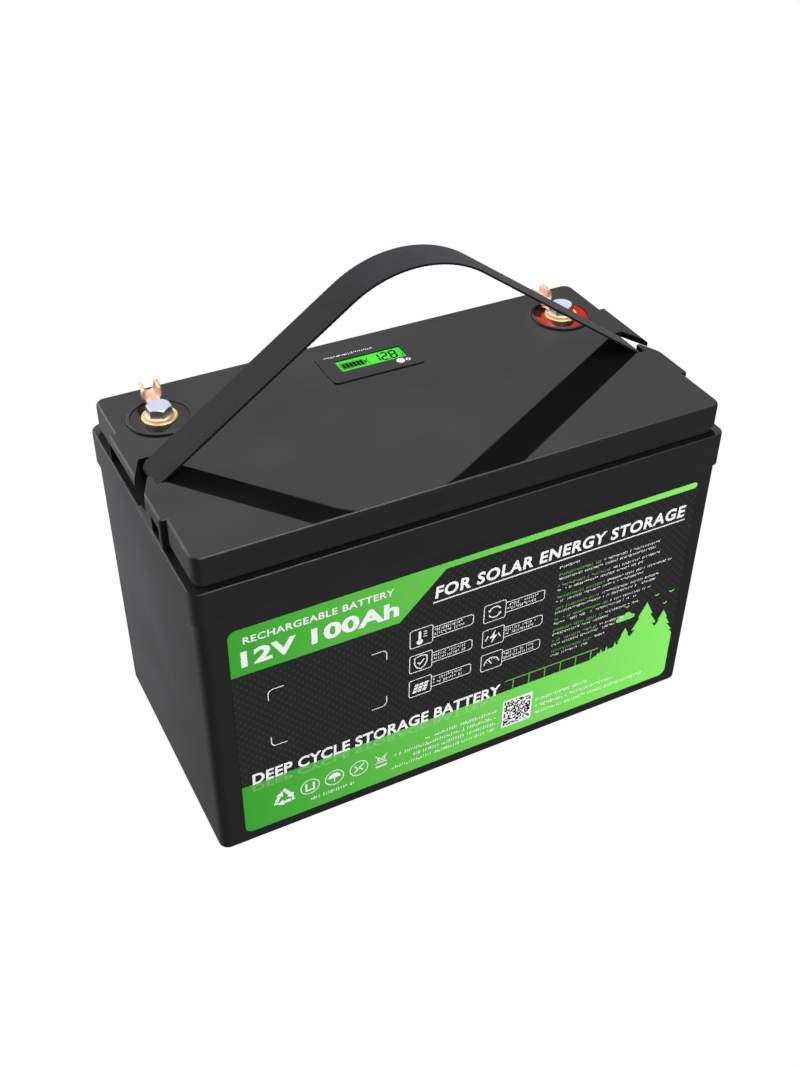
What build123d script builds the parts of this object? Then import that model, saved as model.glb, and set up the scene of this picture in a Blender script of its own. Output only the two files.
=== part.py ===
"""A 12 V 100 Ah deep cycle battery: a moulded case and lid, a webbing carrying strap, two bolted terminals,
a flush capacity display with a push button, and the cell pack, management board and cables inside.

Millimetres. +X is the long side, +Y goes to the terminal side and the label faces -Y, +Z is up.
The origin is the middle of the base.
"""

import os
from math import cos, radians, sin, tan

from build123d import *

# ---------------------------------------------------------------- driving dimensions
RIM_LENGTH = 330.0
RIM_WIDTH = 172.0
RIM_TOP = 198.5
RIM_BAND = 21.5
WALL_LENGTH = 326.0  # outside of the case at its base
WALL_WIDTH = 168.4
WALL_DRAFT = 0.2  # degrees that each wall leans out
CASE_CORNER = 6.0
BASE_EDGE_RADIUS = 2.0
RIM_EDGE_RADIUS = 1.2
CAVITY_LENGTH = 319.4
CAVITY_WIDTH = 161.4
FLOOR = 3.5
LEDGE = 2.6  # width of the ledge that the lid stands on
LEDGE_TOP = 192.0
LEDGE_DEPTH = 6.0

LID_LENGTH = 322.0
LID_WIDTH = 164.0
LID_TOP = 217.5
LID_PLATE = 4.0
LID_STEP = 1.5  # how far the skirt stands back under the lid's edge
LID_STEP_Z = 202.5
LID_EDGE_RADIUS = 2.0
LID_WALL = 3.0
RIB_LENGTH = 236.0
RIB_THICKNESS = 2.0
LONG_RIB_YS = (12.0, -30.0)
CROSS_RIB_PLACES = [(-95, 0), (-48, -33), (48, -33), (95, 0)]
CROSS_RIB_LENGTH = 96.0
RIB_DEPTH = 6.0
SEAL = 0.5
FIT_GAP = 0.2

BOSS_REACH = 3.5  # how far the strap bosses stand out of the lid's ends
BOSS_HALF_WIDTH = 44.2
POCKET_INNER_X = 146.2
POCKET_FRONT_Y = -20.0
POCKET_BACK_Y = 42.0
POCKET_FLOOR = 201.0
POCKET_WALL = 3.0
END_BLOCK_X = 159.0  # outer face of the block that holds a pocket, inside the lid's wall
PEEP_FRONT_Y = -41.0  # the small hollow beside the pocket
PEEP_BACK_Y = -29.0
PEEP_DEPTH = 7.5
PEEP_TOP = 211.0

STRAP_WIDTH = 25.0
STRAP_THICKNESS = 1.8
STRAP_SLOPE = 35.2  # degrees above the lid
STRAP_PEAK = 323.2  # where the two legs' lines would meet
STRAP_TOP_RADIUS = 69.0
STRAP_STEM_X = 152.5
STRAP_BEND = 5.0
STRAP_SPLIT_X = 112.0
SPLIT_GAP = 0.15
PIN_RADIUS = 2.5
PIN_LENGTH = 36.0
PIN_Z = 206.5
LOOP_GAP = 0.2

TERMINAL_X = 133.0
TERMINAL_Y = 46.5
RING_RADIUS = 18.7
RING_HEIGHT = 1.2
RING_EDGE_RADIUS = 0.5
COLLAR_RADIUS = 17.0
COLLAR_BOTTOM = 216.2
COLLAR_TOP = 218.4
POST_FLANGE_RADIUS = 10.3
POST_TOP = 219.7
POST_RADIUS = 8.5
STUD_RADIUS = 6.0
STUD_BOTTOM = 199.0
THREAD_RADIUS = 4.05
THREAD_DEPTH = 16.7
ORING_RADIUS = 9.45
ORING_SECTION = 0.75
LUG_THICKNESS = 1.3
LUG_TONGUE_RADIUS = 8.2
LUG_HOLE_RADIUS = 4.3
LUG_NECK_WIDTH = 8.0
LUG_REACH = 23.0  # bolt centre to the end of the barrel
LUG_TURNS = (-4.0, 14.0)  # degrees, anticlockwise from above, that the lugs stand turned from straight back
BARREL_RADIUS = 4.0  # inside
BARREL_LENGTH = 9.0
BARREL_HEIGHT = 8.9
NUT_FLATS = 18.0
POST_NUT_HEIGHT = 7.0
BOLT_RADIUS = 4.0
BOLT_HEAD = 5.3
BOLT_FLATS = 13.0
BOLT_LENGTH = 14.0
BOLT_TURN = 32.0  # degrees that the tightened heads stand turned

DISPLAY_Y = 51.0
BEZEL_LENGTH = 60.0
BEZEL_WIDTH = 33.0
BEZEL_TOP = 218.4
BEZEL_FACE = 2.2
BODY_LENGTH = 56.0
BODY_WIDTH = 30.0
BODY_WALL = 1.5
BODY_BOTTOM = 207.8
WINDOW_LENGTH = 43.5
WINDOW_WIDTH = 13.0
WINDOW_X = 1.4
WINDOW_Y = 51.5
BUTTON_X = 16.2
BUTTON_Y = 41.1
BUTTON_RADIUS = 2.5
BUTTON_PROUD = 0.3
BUTTON_GAP = 0.3
LCD_SHOULDER = 1.4
LENS_THICKNESS = 0.6
LENS_DEPTH = 0.3  # of the lens's face below the bezel's
WINDOW_FLANGE = 0.7
BOARD_BOTTOM = 209.4
BOARD_THICKNESS = 1.6
BOARD_SCREW_X = 24.2
BOARD_SCREW_Y = 11.0

LABEL_LENGTH = 299.0
LABEL_HEIGHT = 159.0
LABEL_X = 1.7
LABEL_Z = 88.0
LABEL_THICKNESS = 0.25
LABEL_CORNER = 5.0

CELL_THICKNESS = 52.0
CELL_WIDTH = 148.0
CELL_HEIGHT = 115.0
CELL_COUNT = 4
SEPARATOR = 1.0
BASE_FOAM = 3.0
PAD_SIZE = 20.0
PAD_HEIGHT = 3.0
PAD_Y = 50.0
CELL_STUD_RADIUS = 3.0
CELL_STUD_HEIGHT = 8.0
BUSBAR_THICKNESS = 2.0
NUT_HEIGHT = 5.0
END_PLATE = 2.0
BAND_THICKNESS = 0.6
BAND_HEIGHT = 16.0
TRAY_BOTTOM = 134.5
TRAY_THICKNESS = 1.5
TRAY_WIDTH = 148.0
FOAM_TOP = 118.0
BMS_LENGTH = 120.0
BMS_WIDTH = 72.0
BMS_BOTTOM = 140.0
MOSFETS = 8
PACKAGE_HEIGHT = 4.4
PACKAGES_AT = (4.0, 6.0)  # middle of the transistors on the board
HEATSINK_WIDTH = 44.0
HEATSINK_PLATE = 3.0
FIN_HEIGHT = 8.0
FIN_COUNT = 8
CABLE_RADIUS = 3.5
CABLE_BEND = 13.0
CABLE_LUG_THICKNESS = 2.0
CABLE_LUG_BARREL = 4.6
CABLE_LUG_REACH = 23.0
CRIMP_LENGTH = 12.0
WIRE_RADIUS = 0.7
WIRE_BEND = 4.0

# ---------------------------------------------------------------- worked out from them
PITCH = CELL_THICKNESS + SEPARATOR
CELL_XS = [(i - (CELL_COUNT - 1) / 2) * PITCH for i in range(CELL_COUNT)]
CELL_BOTTOM = FLOOR + BASE_FOAM
CELL_TOP = CELL_BOTTOM + CELL_HEIGHT
PAD_TOP = CELL_TOP + PAD_HEIGHT
BUSBAR_TOP = PAD_TOP + BUSBAR_THICKNESS
BLOCK_HALF = CELL_XS[-1] + CELL_THICKNESS / 2
PLATE_UNDER = LID_TOP - LID_PLATE
LUG_TOP = POST_TOP + LUG_THICKNESS
BMS_TOP = BMS_BOTTOM + BOARD_THICKNESS
BEZEL_UNDER = BEZEL_TOP - BEZEL_FACE
STEM_TOP = STRAP_PEAK - tan(radians(STRAP_SLOPE)) * STRAP_STEM_X

STANDING = (Align.CENTER, Align.CENTER, Align.MIN)  # placed by the middle of the underside

os.makedirs("parts", exist_ok=True)


def finish(part, name):
    """Labels a finished piece and writes it as its own STEP file."""
    part.label = name
    export_step(part, f"parts/{name}.step")


# ---------------------------------------------------------------- case
with BuildPart() as case:
    with BuildSketch(Plane.XY):
        RectangleRounded(WALL_LENGTH, WALL_WIDTH, CASE_CORNER)
    extrude(amount=RIM_TOP - RIM_BAND, taper=-WALL_DRAFT)
    fillet(case.faces().sort_by(Axis.Z)[0].edges(), radius=BASE_EDGE_RADIUS)
    with BuildSketch(Plane.XY.offset(RIM_TOP - RIM_BAND)):
        RectangleRounded(RIM_LENGTH, RIM_WIDTH, CASE_CORNER + 1)
    extrude(amount=RIM_BAND)
    fillet(case.faces().sort_by(Axis.Z)[-1].edges(), radius=RIM_EDGE_RADIUS)
    with BuildSketch(Plane.XY.offset(FLOOR)):
        RectangleRounded(CAVITY_LENGTH, CAVITY_WIDTH, CASE_CORNER - 1)
    extrude(amount=RIM_TOP, mode=Mode.SUBTRACT)
    with BuildSketch(Plane.XY.offset(LEDGE_TOP - LEDGE_DEPTH)):
        RectangleRounded(CAVITY_LENGTH + 1, CAVITY_WIDTH + 1, CASE_CORNER - 1)
        RectangleRounded(
            CAVITY_LENGTH - 2 * LEDGE, CAVITY_WIDTH - 2 * LEDGE, CASE_CORNER - 3, mode=Mode.SUBTRACT
        )
    extrude(amount=LEDGE_DEPTH)
finish(case.part, "case")

# ---------------------------------------------------------------- lid
with BuildSketch() as strap_slot:
    # The strap's hole through the left boss, with the slanted slit that the webbing was threaded in by.
    with BuildLine():
        Polyline(
            (-147.5, 13.2),
            (-156.7, 13.2),
            (-167.0, -9.5),
            (-167.0, -25.8),
            (-157.5, -4.8),
            (-155.5, -4.8),
            (-155.5, -13.2),
            (-147.5, -13.2),
            close=True,
        )
    make_face()

with BuildPart() as lid:
    with BuildSketch(Plane.XY.offset(LID_STEP_Z)):
        RectangleRounded(LID_LENGTH, LID_WIDTH, CASE_CORNER)
    extrude(amount=LID_TOP - LID_STEP_Z)
    with BuildSketch(Plane.XY.offset(RIM_TOP + FIT_GAP)):
        RectangleRounded(LID_LENGTH + 2 * BOSS_REACH, 2 * BOSS_HALF_WIDTH, 1.5)
    extrude(amount=LID_TOP - RIM_TOP - FIT_GAP)
    fillet(lid.faces().sort_by(Axis.Z)[-1].edges(), radius=LID_EDGE_RADIUS)
    with BuildSketch(Plane.XY.offset(LEDGE_TOP + SEAL)):
        RectangleRounded(LID_LENGTH - 2 * LID_STEP, LID_WIDTH - 2 * LID_STEP, CASE_CORNER - 1)
    extrude(amount=LID_STEP_Z - LEDGE_TOP - SEAL)
    with BuildSketch(Plane.XY.offset(LEDGE_TOP + SEAL)):
        inset = 2 * (LID_STEP + LID_WALL)
        RectangleRounded(LID_LENGTH - inset, LID_WIDTH - inset, CASE_CORNER - LID_WALL)
    extrude(amount=PLATE_UNDER - LEDGE_TOP - SEAL, mode=Mode.SUBTRACT)
    # Stiffening ribs under the top plate.
    with BuildSketch(Plane.XY.offset(PLATE_UNDER - RIB_DEPTH)):
        with Locations(*((0, y) for y in LONG_RIB_YS)):
            Rectangle(RIB_LENGTH, RIB_THICKNESS)
        with Locations(*CROSS_RIB_PLACES):
            Rectangle(RIB_THICKNESS, CROSS_RIB_LENGTH)
    extrude(amount=RIB_DEPTH + 1)
    # A closed block at each end holds the strap's pocket.
    pocket_mid = (POCKET_FRONT_Y + POCKET_BACK_Y) / 2
    pocket_width = POCKET_BACK_Y - POCKET_FRONT_Y
    for side in (-1, 1):
        with BuildSketch(Plane.XY.offset(POCKET_FLOOR - POCKET_WALL)):
            with Locations((side * (POCKET_INNER_X - POCKET_WALL + END_BLOCK_X) / 2, 0)):
                Rectangle(END_BLOCK_X - POCKET_INNER_X + POCKET_WALL, 2 * BOSS_HALF_WIDTH + 2)
        extrude(amount=PLATE_UNDER - POCKET_FLOOR + POCKET_WALL + 1)
        with BuildSketch(Plane.XY.offset(POCKET_FLOOR)):
            with Locations((side * (POCKET_INNER_X + RIM_LENGTH / 2) / 2, pocket_mid)):
                Rectangle(RIM_LENGTH / 2 - POCKET_INNER_X, pocket_width)
        extrude(amount=PLATE_UNDER - POCKET_FLOOR, mode=Mode.SUBTRACT)
        peep_outer = LID_LENGTH / 2 + BOSS_REACH
        with BuildSketch(Plane.XY.offset(POCKET_FLOOR)):
            with Locations((side * (peep_outer - PEEP_DEPTH / 2), (PEEP_FRONT_Y + PEEP_BACK_Y) / 2)):
                Rectangle(PEEP_DEPTH, PEEP_BACK_Y - PEEP_FRONT_Y)
        extrude(amount=PEEP_TOP - POCKET_FLOOR, mode=Mode.SUBTRACT)
    with BuildSketch(Plane.XY.offset(PLATE_UNDER - 1)):
        add(strap_slot.sketch)
        mirror(about=Plane.YZ)
    extrude(amount=LID_PLATE + 3, mode=Mode.SUBTRACT)
    # Terminal seats: a raised ring, the collar's recess, the O-ring's groove and the post's hole.
    terminal_places = [(-TERMINAL_X, TERMINAL_Y), (TERMINAL_X, TERMINAL_Y)]
    with BuildSketch(Plane.XY.offset(LID_TOP - 1)):
        with Locations(*terminal_places):
            Circle(RING_RADIUS)
    extrude(amount=RING_HEIGHT + 1)
    ring_edges = lid.edges().filter_by(GeomType.CIRCLE).group_by(Axis.Z)[-1]
    fillet(ring_edges, radius=RING_EDGE_RADIUS)
    with BuildSketch(Plane.XY.offset(COLLAR_BOTTOM)):
        with Locations(*terminal_places):
            Circle(COLLAR_RADIUS + 0.1)
    extrude(amount=5, mode=Mode.SUBTRACT)
    with BuildSketch(Plane.XY.offset(COLLAR_BOTTOM - 2 * ORING_SECTION - 0.1)):
        with Locations(*terminal_places):
            Circle(ORING_RADIUS + ORING_SECTION + 0.1)
    extrude(amount=5, mode=Mode.SUBTRACT)
    with BuildSketch(Plane.XY.offset(PLATE_UNDER - 7)):
        with Locations(*terminal_places):
            Circle(POST_RADIUS + 0.1)
    extrude(amount=15, mode=Mode.SUBTRACT)
    # The display's cut-out.
    with BuildSketch(Plane.XY.offset(PLATE_UNDER - 7)):
        with Locations((0, DISPLAY_Y)):
            Rectangle(BODY_LENGTH + 2 * FIT_GAP, BODY_WIDTH + 2 * FIT_GAP)
    extrude(amount=20, mode=Mode.SUBTRACT)
finish(lid.part, "lid")

with BuildPart() as lid_seal:
    with BuildSketch(Plane.XY.offset(LEDGE_TOP)):
        RectangleRounded(CAVITY_LENGTH - 0.8, CAVITY_WIDTH - 0.8, CASE_CORNER - 1)
        RectangleRounded(CAVITY_LENGTH - 2 * LEDGE, CAVITY_WIDTH - 2 * LEDGE, 3, mode=Mode.SUBTRACT)
    extrude(amount=SEAL)
finish(lid_seal.part, "lid_seal")

# ---------------------------------------------------------------- label on the drafted front wall
draft = radians(WALL_DRAFT)
wall_y = -(WALL_WIDTH / 2 + LABEL_Z * tan(draft))
label_plane = Plane(origin=(LABEL_X, wall_y, LABEL_Z), x_dir=(1, 0, 0), z_dir=(0, -cos(draft), -sin(draft)))
with BuildPart() as front_label:
    with BuildSketch(label_plane):
        RectangleRounded(LABEL_LENGTH, LABEL_HEIGHT, LABEL_CORNER)
    extrude(amount=LABEL_THICKNESS)
finish(front_label.part, "front_label")


# ---------------------------------------------------------------- carrying strap
def strap_profile(side_of_split):
    """The strap's side view as one thin closed shape, extruded across its width, then cut to one stretch."""
    slope = radians(STRAP_SLOPE)
    arc_half = STRAP_TOP_RADIUS * sin(slope)
    arc_z = STRAP_PEAK - tan(slope) * arc_half
    bend = STRAP_BEND * tan((radians(90) - slope) / 2)
    leg_foot = (STRAP_STEM_X - bend * cos(slope), STEM_TOP + bend * sin(slope))
    with BuildPart() as strap:
        with BuildSketch(Plane.XZ):
            for side in (-1, 1):
                with BuildLine():
                    stem_x = side * STRAP_STEM_X
                    stem = Line((stem_x, PIN_Z + PIN_RADIUS + 1), (stem_x, STEM_TOP - bend))
                    TangentArc(stem @ 1, (side * leg_foot[0], leg_foot[1]), tangent=stem % 1)
                    Line((side * leg_foot[0], leg_foot[1]), (side * arc_half, arc_z))
                trace(line_width=STRAP_THICKNESS)
            with BuildLine():
                RadiusArc((-arc_half, arc_z), (arc_half, arc_z), STRAP_TOP_RADIUS)
            trace(line_width=STRAP_THICKNESS)
            with Locations((-STRAP_STEM_X, PIN_Z), (STRAP_STEM_X, PIN_Z)):
                Circle(PIN_RADIUS + LOOP_GAP + STRAP_THICKNESS)
                Circle(PIN_RADIUS + LOOP_GAP, mode=Mode.SUBTRACT)
        extrude(amount=STRAP_WIDTH / 2, both=True)
        if side_of_split == 0:
            split(bisect_by=Plane.YZ.offset(STRAP_SPLIT_X - SPLIT_GAP), keep=Keep.BOTTOM)
            split(bisect_by=Plane.YZ.offset(-STRAP_SPLIT_X + SPLIT_GAP), keep=Keep.TOP)
        elif side_of_split < 0:
            split(bisect_by=Plane.YZ.offset(-STRAP_SPLIT_X - SPLIT_GAP), keep=Keep.BOTTOM)
        else:
            split(bisect_by=Plane.YZ.offset(STRAP_SPLIT_X + SPLIT_GAP), keep=Keep.TOP)
    return strap.part


finish(strap_profile(0), "strap_arch")
for side, word in ((-1, "left"), (1, "right")):
    finish(strap_profile(side), f"strap_{word}_end")
    with BuildPart() as strap_pin:
        with BuildSketch(Plane.XZ):
            with Locations((side * STRAP_STEM_X, PIN_Z)):
                Circle(PIN_RADIUS)
        extrude(amount=PIN_LENGTH / 2, both=True)
        fillet(strap_pin.edges().filter_by(GeomType.CIRCLE), radius=0.6)
    finish(strap_pin.part, f"strap_{word}_pin")

# ---------------------------------------------------------------- terminals
for side, word, turn in ((-1, "negative", LUG_TURNS[0]), (1, "positive", LUG_TURNS[1])):
    x = side * TERMINAL_X
    with BuildPart() as collar:
        with BuildSketch(Plane.XY.offset(COLLAR_BOTTOM)):
            with Locations((x, TERMINAL_Y)):
                Circle(COLLAR_RADIUS)
                Circle(POST_RADIUS + 0.1, mode=Mode.SUBTRACT)
        extrude(amount=COLLAR_TOP - COLLAR_BOTTOM)
        rim = collar.edges().filter_by(GeomType.CIRCLE).group_by(Axis.Z)[-1].sort_by(SortBy.RADIUS)[-1]
        chamfer(rim, length=0.6)
    finish(collar.part, f"{word}_collar")

    with BuildPart() as post:
        with BuildSketch(Plane.XY.offset(STUD_BOTTOM)):
            with Locations((x, TERMINAL_Y)):
                Circle(STUD_RADIUS)
        extrude(amount=PLATE_UNDER - STUD_BOTTOM)
        with BuildSketch(Plane.XY.offset(PLATE_UNDER)):
            with Locations((x, TERMINAL_Y)):
                Circle(POST_RADIUS)
        extrude(amount=COLLAR_TOP - PLATE_UNDER)
        with BuildSketch(Plane.XY.offset(COLLAR_TOP)):
            with Locations((x, TERMINAL_Y)):
                Circle(POST_FLANGE_RADIUS)
        extrude(amount=POST_TOP - COLLAR_TOP)
        chamfer(post.faces().sort_by(Axis.Z)[-1].edges(), length=0.4)
        with Locations((x, TERMINAL_Y, POST_TOP)):
            Hole(radius=THREAD_RADIUS, depth=THREAD_DEPTH)
    finish(post.part, f"{word}_post")

    # Open-barrel cable lug: a flat ring tongue, a neck and a U-shaped barrel with two tall ears.
    with BuildPart() as lug:
        with BuildSketch(Plane.XY.offset(POST_TOP)):
            with Locations((x, TERMINAL_Y)):
                Circle(LUG_TONGUE_RADIUS)
            with Locations((x, TERMINAL_Y + LUG_REACH / 2 - 2)):
                Rectangle(LUG_NECK_WIDTH, LUG_REACH - 4)
        extrude(amount=LUG_THICKNESS)
        barrel_outer = BARREL_RADIUS + LUG_THICKNESS
        barrel_z = POST_TOP + barrel_outer
        with BuildSketch(Plane.XZ.offset(-(TERMINAL_Y + LUG_REACH))):
            with Locations((x, barrel_z)):
                Circle(barrel_outer)
            with Locations((x, POST_TOP + barrel_outer + (BARREL_HEIGHT - barrel_outer) / 2)):
                Rectangle(2 * barrel_outer, BARREL_HEIGHT - barrel_outer)
            with Locations((x, POST_TOP + BARREL_HEIGHT + 10)):
                Rectangle(4 * barrel_outer, 20, mode=Mode.SUBTRACT)
        extrude(amount=BARREL_LENGTH)
        with BuildSketch(Plane.XZ.offset(-(TERMINAL_Y + LUG_REACH))):
            with Locations((x, barrel_z)):
                Circle(BARREL_RADIUS)
            with Locations((x, barrel_z + 10)):
                Rectangle(2 * BARREL_RADIUS, 20)
        extrude(amount=BARREL_LENGTH + 20, mode=Mode.SUBTRACT)
        # The ears' front edges slope down to the neck.
        ear_front = TERMINAL_Y + LUG_REACH - BARREL_LENGTH
        with BuildSketch(Plane.YZ.offset(x - 10)):
            with BuildLine():
                Polyline(
                    (ear_front - 1, POST_TOP + LUG_THICKNESS + 0.3),
                    (ear_front + 0.5, POST_TOP + LUG_THICKNESS + 0.3),
                    (ear_front + 2.5, POST_TOP + BARREL_HEIGHT + 1),
                    (ear_front - 1, POST_TOP + BARREL_HEIGHT + 1),
                    close=True,
                )
            make_face()
        extrude(amount=20, mode=Mode.SUBTRACT)
        with Locations((x, TERMINAL_Y, LUG_TOP)):
            Hole(radius=LUG_HOLE_RADIUS, depth=LUG_THICKNESS)
    terminal_axis = Axis((x, TERMINAL_Y, 0), (0, 0, 1))
    finish(lug.part.rotate(terminal_axis, turn), f"{word}_lug")

with BuildPart() as terminal_bolts:
    with BuildSketch(Plane.XY.offset(LUG_TOP)):
        with Locations(*terminal_places):
            RegularPolygon(BOLT_FLATS / 2, 6, major_radius=False, rotation=BOLT_TURN)
    extrude(amount=BOLT_HEAD)
    # The head's top corners are turned down to a flat cone, as on any forged hexagon bolt.
    with BuildSketch(Plane.XY.offset(LUG_TOP + BOLT_HEAD)):
        with Locations(*terminal_places):
            Circle(BOLT_FLATS / 2 - 0.2)
    extrude(amount=-BOLT_HEAD, taper=-60, mode=Mode.INTERSECT)
    with BuildSketch(Plane.XY.offset(LUG_TOP - BOLT_LENGTH)):
        with Locations(*terminal_places):
            Circle(BOLT_RADIUS)
    extrude(amount=BOLT_LENGTH)
finish(terminal_bolts.part, "terminal_bolts")

with BuildPart() as terminal_orings:
    for side in (-1, 1):
        with BuildSketch(Plane(origin=(side * TERMINAL_X, TERMINAL_Y, 0), x_dir=(1, 0, 0), z_dir=(0, -1, 0))):
            with Locations((ORING_RADIUS, COLLAR_BOTTOM - ORING_SECTION - 0.05)):
                Circle(ORING_SECTION)
        revolve(axis=Axis((side * TERMINAL_X, TERMINAL_Y, 0), (0, 0, 1)))
finish(terminal_orings.part, "terminal_orings")

with BuildPart() as terminal_nuts:
    with BuildSketch(Plane.XY.offset(PLATE_UNDER - CABLE_LUG_THICKNESS - POST_NUT_HEIGHT)):
        with Locations(*terminal_places):
            RegularPolygon(NUT_FLATS / 2, 6, major_radius=False, rotation=30)
            Circle(STUD_RADIUS + 0.05, mode=Mode.SUBTRACT)
    extrude(amount=POST_NUT_HEIGHT)
finish(terminal_nuts.part, "terminal_nuts")

# ---------------------------------------------------------------- display
with BuildPart() as display_bezel:
    with BuildSketch(Plane.XY.offset(LID_TOP)):
        with Locations((0, DISPLAY_Y)):
            RectangleRounded(BEZEL_LENGTH, BEZEL_WIDTH, 3)
    extrude(amount=BEZEL_TOP - LID_TOP)
    fillet(display_bezel.faces().sort_by(Axis.Z)[-1].edges(), radius=0.5)
    with BuildSketch(Plane.XY.offset(BODY_BOTTOM)):
        with Locations((0, DISPLAY_Y)):
            Rectangle(BODY_LENGTH, BODY_WIDTH)
    extrude(amount=LID_TOP - BODY_BOTTOM)
    with BuildSketch(Plane.XY.offset(BODY_BOTTOM)):
        with Locations((0, DISPLAY_Y)):
            Rectangle(BODY_LENGTH - 2 * BODY_WALL, BODY_WIDTH - 2 * BODY_WALL)
    extrude(amount=BEZEL_UNDER - BODY_BOTTOM, mode=Mode.SUBTRACT)
    with BuildSketch(Plane.XY.offset(BOARD_BOTTOM + BOARD_THICKNESS)):
        with Locations((0, DISPLAY_Y)):
            with GridLocations(2 * BOARD_SCREW_X, 2 * BOARD_SCREW_Y, 2, 2):
                Circle(1.8)
    extrude(amount=BEZEL_UNDER - BOARD_BOTTOM - BOARD_THICKNESS + 0.1)
    with BuildSketch(Plane.XY.offset(BOARD_BOTTOM)):
        with Locations((0, DISPLAY_Y)):
            with GridLocations(2 * BOARD_SCREW_X, 2 * BOARD_SCREW_Y, 2, 2):
                Circle(0.7)
    extrude(amount=5.4, mode=Mode.SUBTRACT)
    with BuildSketch(Plane.XY.offset(BEZEL_UNDER - 1)):
        with Locations((WINDOW_X, WINDOW_Y)):
            Rectangle(WINDOW_LENGTH, WINDOW_WIDTH)
        with Locations((BUTTON_X, BUTTON_Y)):
            Circle(BUTTON_RADIUS + BUTTON_GAP)
    extrude(amount=5, mode=Mode.SUBTRACT)
finish(display_bezel.part, "display_bezel")

lens_bottom = BEZEL_TOP - LENS_DEPTH - LENS_THICKNESS
with BuildPart() as display_lens:
    with Locations((WINDOW_X, WINDOW_Y, lens_bottom)):
        Box(WINDOW_LENGTH - 0.2, WINDOW_WIDTH - 0.2, LENS_THICKNESS, align=STANDING)
finish(display_lens.part, "display_lens")

lcd_bottom = BEZEL_UNDER - 0.1 - LCD_SHOULDER
with BuildPart() as display_lcd:
    with Locations((WINDOW_X, WINDOW_Y, lcd_bottom)):
        Box(WINDOW_LENGTH + 2 * WINDOW_FLANGE, WINDOW_WIDTH + 2 * WINDOW_FLANGE, LCD_SHOULDER, align=STANDING)
        Box(WINDOW_LENGTH - 0.4, WINDOW_WIDTH - 0.4, lens_bottom - 0.1 - lcd_bottom, align=STANDING)
finish(display_lcd.part, "display_lcd")

backlight_height = lcd_bottom - 0.1 - BOARD_BOTTOM - BOARD_THICKNESS
with BuildPart() as display_backlight:
    with Locations((WINDOW_X, WINDOW_Y, lcd_bottom - 0.1 - backlight_height / 2)):
        Box(WINDOW_LENGTH + 2 * WINDOW_FLANGE, WINDOW_WIDTH + 2 * WINDOW_FLANGE, backlight_height)
finish(display_backlight.part, "display_backlight")

with BuildPart() as display_board:
    with BuildSketch(Plane.XY.offset(BOARD_BOTTOM)):
        with Locations((0, DISPLAY_Y)):
            Rectangle(BODY_LENGTH - 2 * BODY_WALL - 1, BODY_WIDTH - 2 * BODY_WALL - 1)
            with GridLocations(2 * BOARD_SCREW_X, 2 * BOARD_SCREW_Y, 2, 2):
                Circle(0.8, mode=Mode.SUBTRACT)
    extrude(amount=BOARD_THICKNESS)
finish(display_board.part, "display_board")

with BuildPart() as display_screws:
    with Locations((0, DISPLAY_Y, BOARD_BOTTOM)):
        with GridLocations(2 * BOARD_SCREW_X, 2 * BOARD_SCREW_Y, 2, 2):
            Cylinder(1.4, 0.9, align=(Align.CENTER, Align.CENTER, Align.MAX))
            Cylinder(0.65, 5.0, align=STANDING)
finish(display_screws.part, "display_screws")

switch_z = BOARD_BOTTOM + BOARD_THICKNESS
with BuildPart() as display_switch:
    with Locations((BUTTON_X, BUTTON_Y, switch_z)):
        Box(4.4, 4.4, 2.2, align=STANDING)
        Cylinder(1.0, 2.5, align=STANDING)
finish(display_switch.part, "display_switch")

with BuildPart() as display_button:
    with Locations((BUTTON_X, BUTTON_Y, BEZEL_UNDER - 0.7)):
        Cylinder(BUTTON_RADIUS, BEZEL_FACE + 0.7 + BUTTON_PROUD, align=STANDING)
        Cylinder(BUTTON_RADIUS + BUTTON_GAP + 0.1, 0.6, align=STANDING)
        Cylinder(1.2, 0.9, align=(Align.CENTER, Align.CENTER, Align.MAX))
    fillet(display_button.faces().sort_by(Axis.Z)[-1].edges(), radius=0.4)
finish(display_button.part, "display_button")


# ---------------------------------------------------------------- cell pack
with BuildPart() as base_foam:
    with Locations((0, 0, FLOOR)):
        Box(2 * BLOCK_HALF + 4, CELL_WIDTH, BASE_FOAM, align=STANDING)
finish(base_foam.part, "base_foam")

for i, x in enumerate(CELL_XS):
    with BuildPart() as cell:
        with BuildSketch(Plane.XY.offset(CELL_BOTTOM)):
            with Locations((x, 0)):
                RectangleRounded(CELL_THICKNESS, CELL_WIDTH, 2)
        extrude(amount=CELL_HEIGHT)
        with Locations((x, PAD_Y, CELL_TOP), (x, -PAD_Y, CELL_TOP)):
            Box(PAD_SIZE, PAD_SIZE, PAD_HEIGHT, align=STANDING)
            Cylinder(CELL_STUD_RADIUS, PAD_HEIGHT + CELL_STUD_HEIGHT, align=STANDING)
        with BuildSketch(Plane.XY.offset(CELL_TOP)):
            with Locations((x, 0)):
                SlotOverall(26, 12)
        extrude(amount=0.8)
    finish(cell.part, f"cell_{i + 1}")

with BuildPart() as cell_separators:
    for left, right in zip(CELL_XS, CELL_XS[1:]):
        with Locations(((left + right) / 2, 0, CELL_BOTTOM)):
            Box(SEPARATOR, CELL_WIDTH - 2, CELL_HEIGHT - 4, align=STANDING)
finish(cell_separators.part, "cell_separators")

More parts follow.
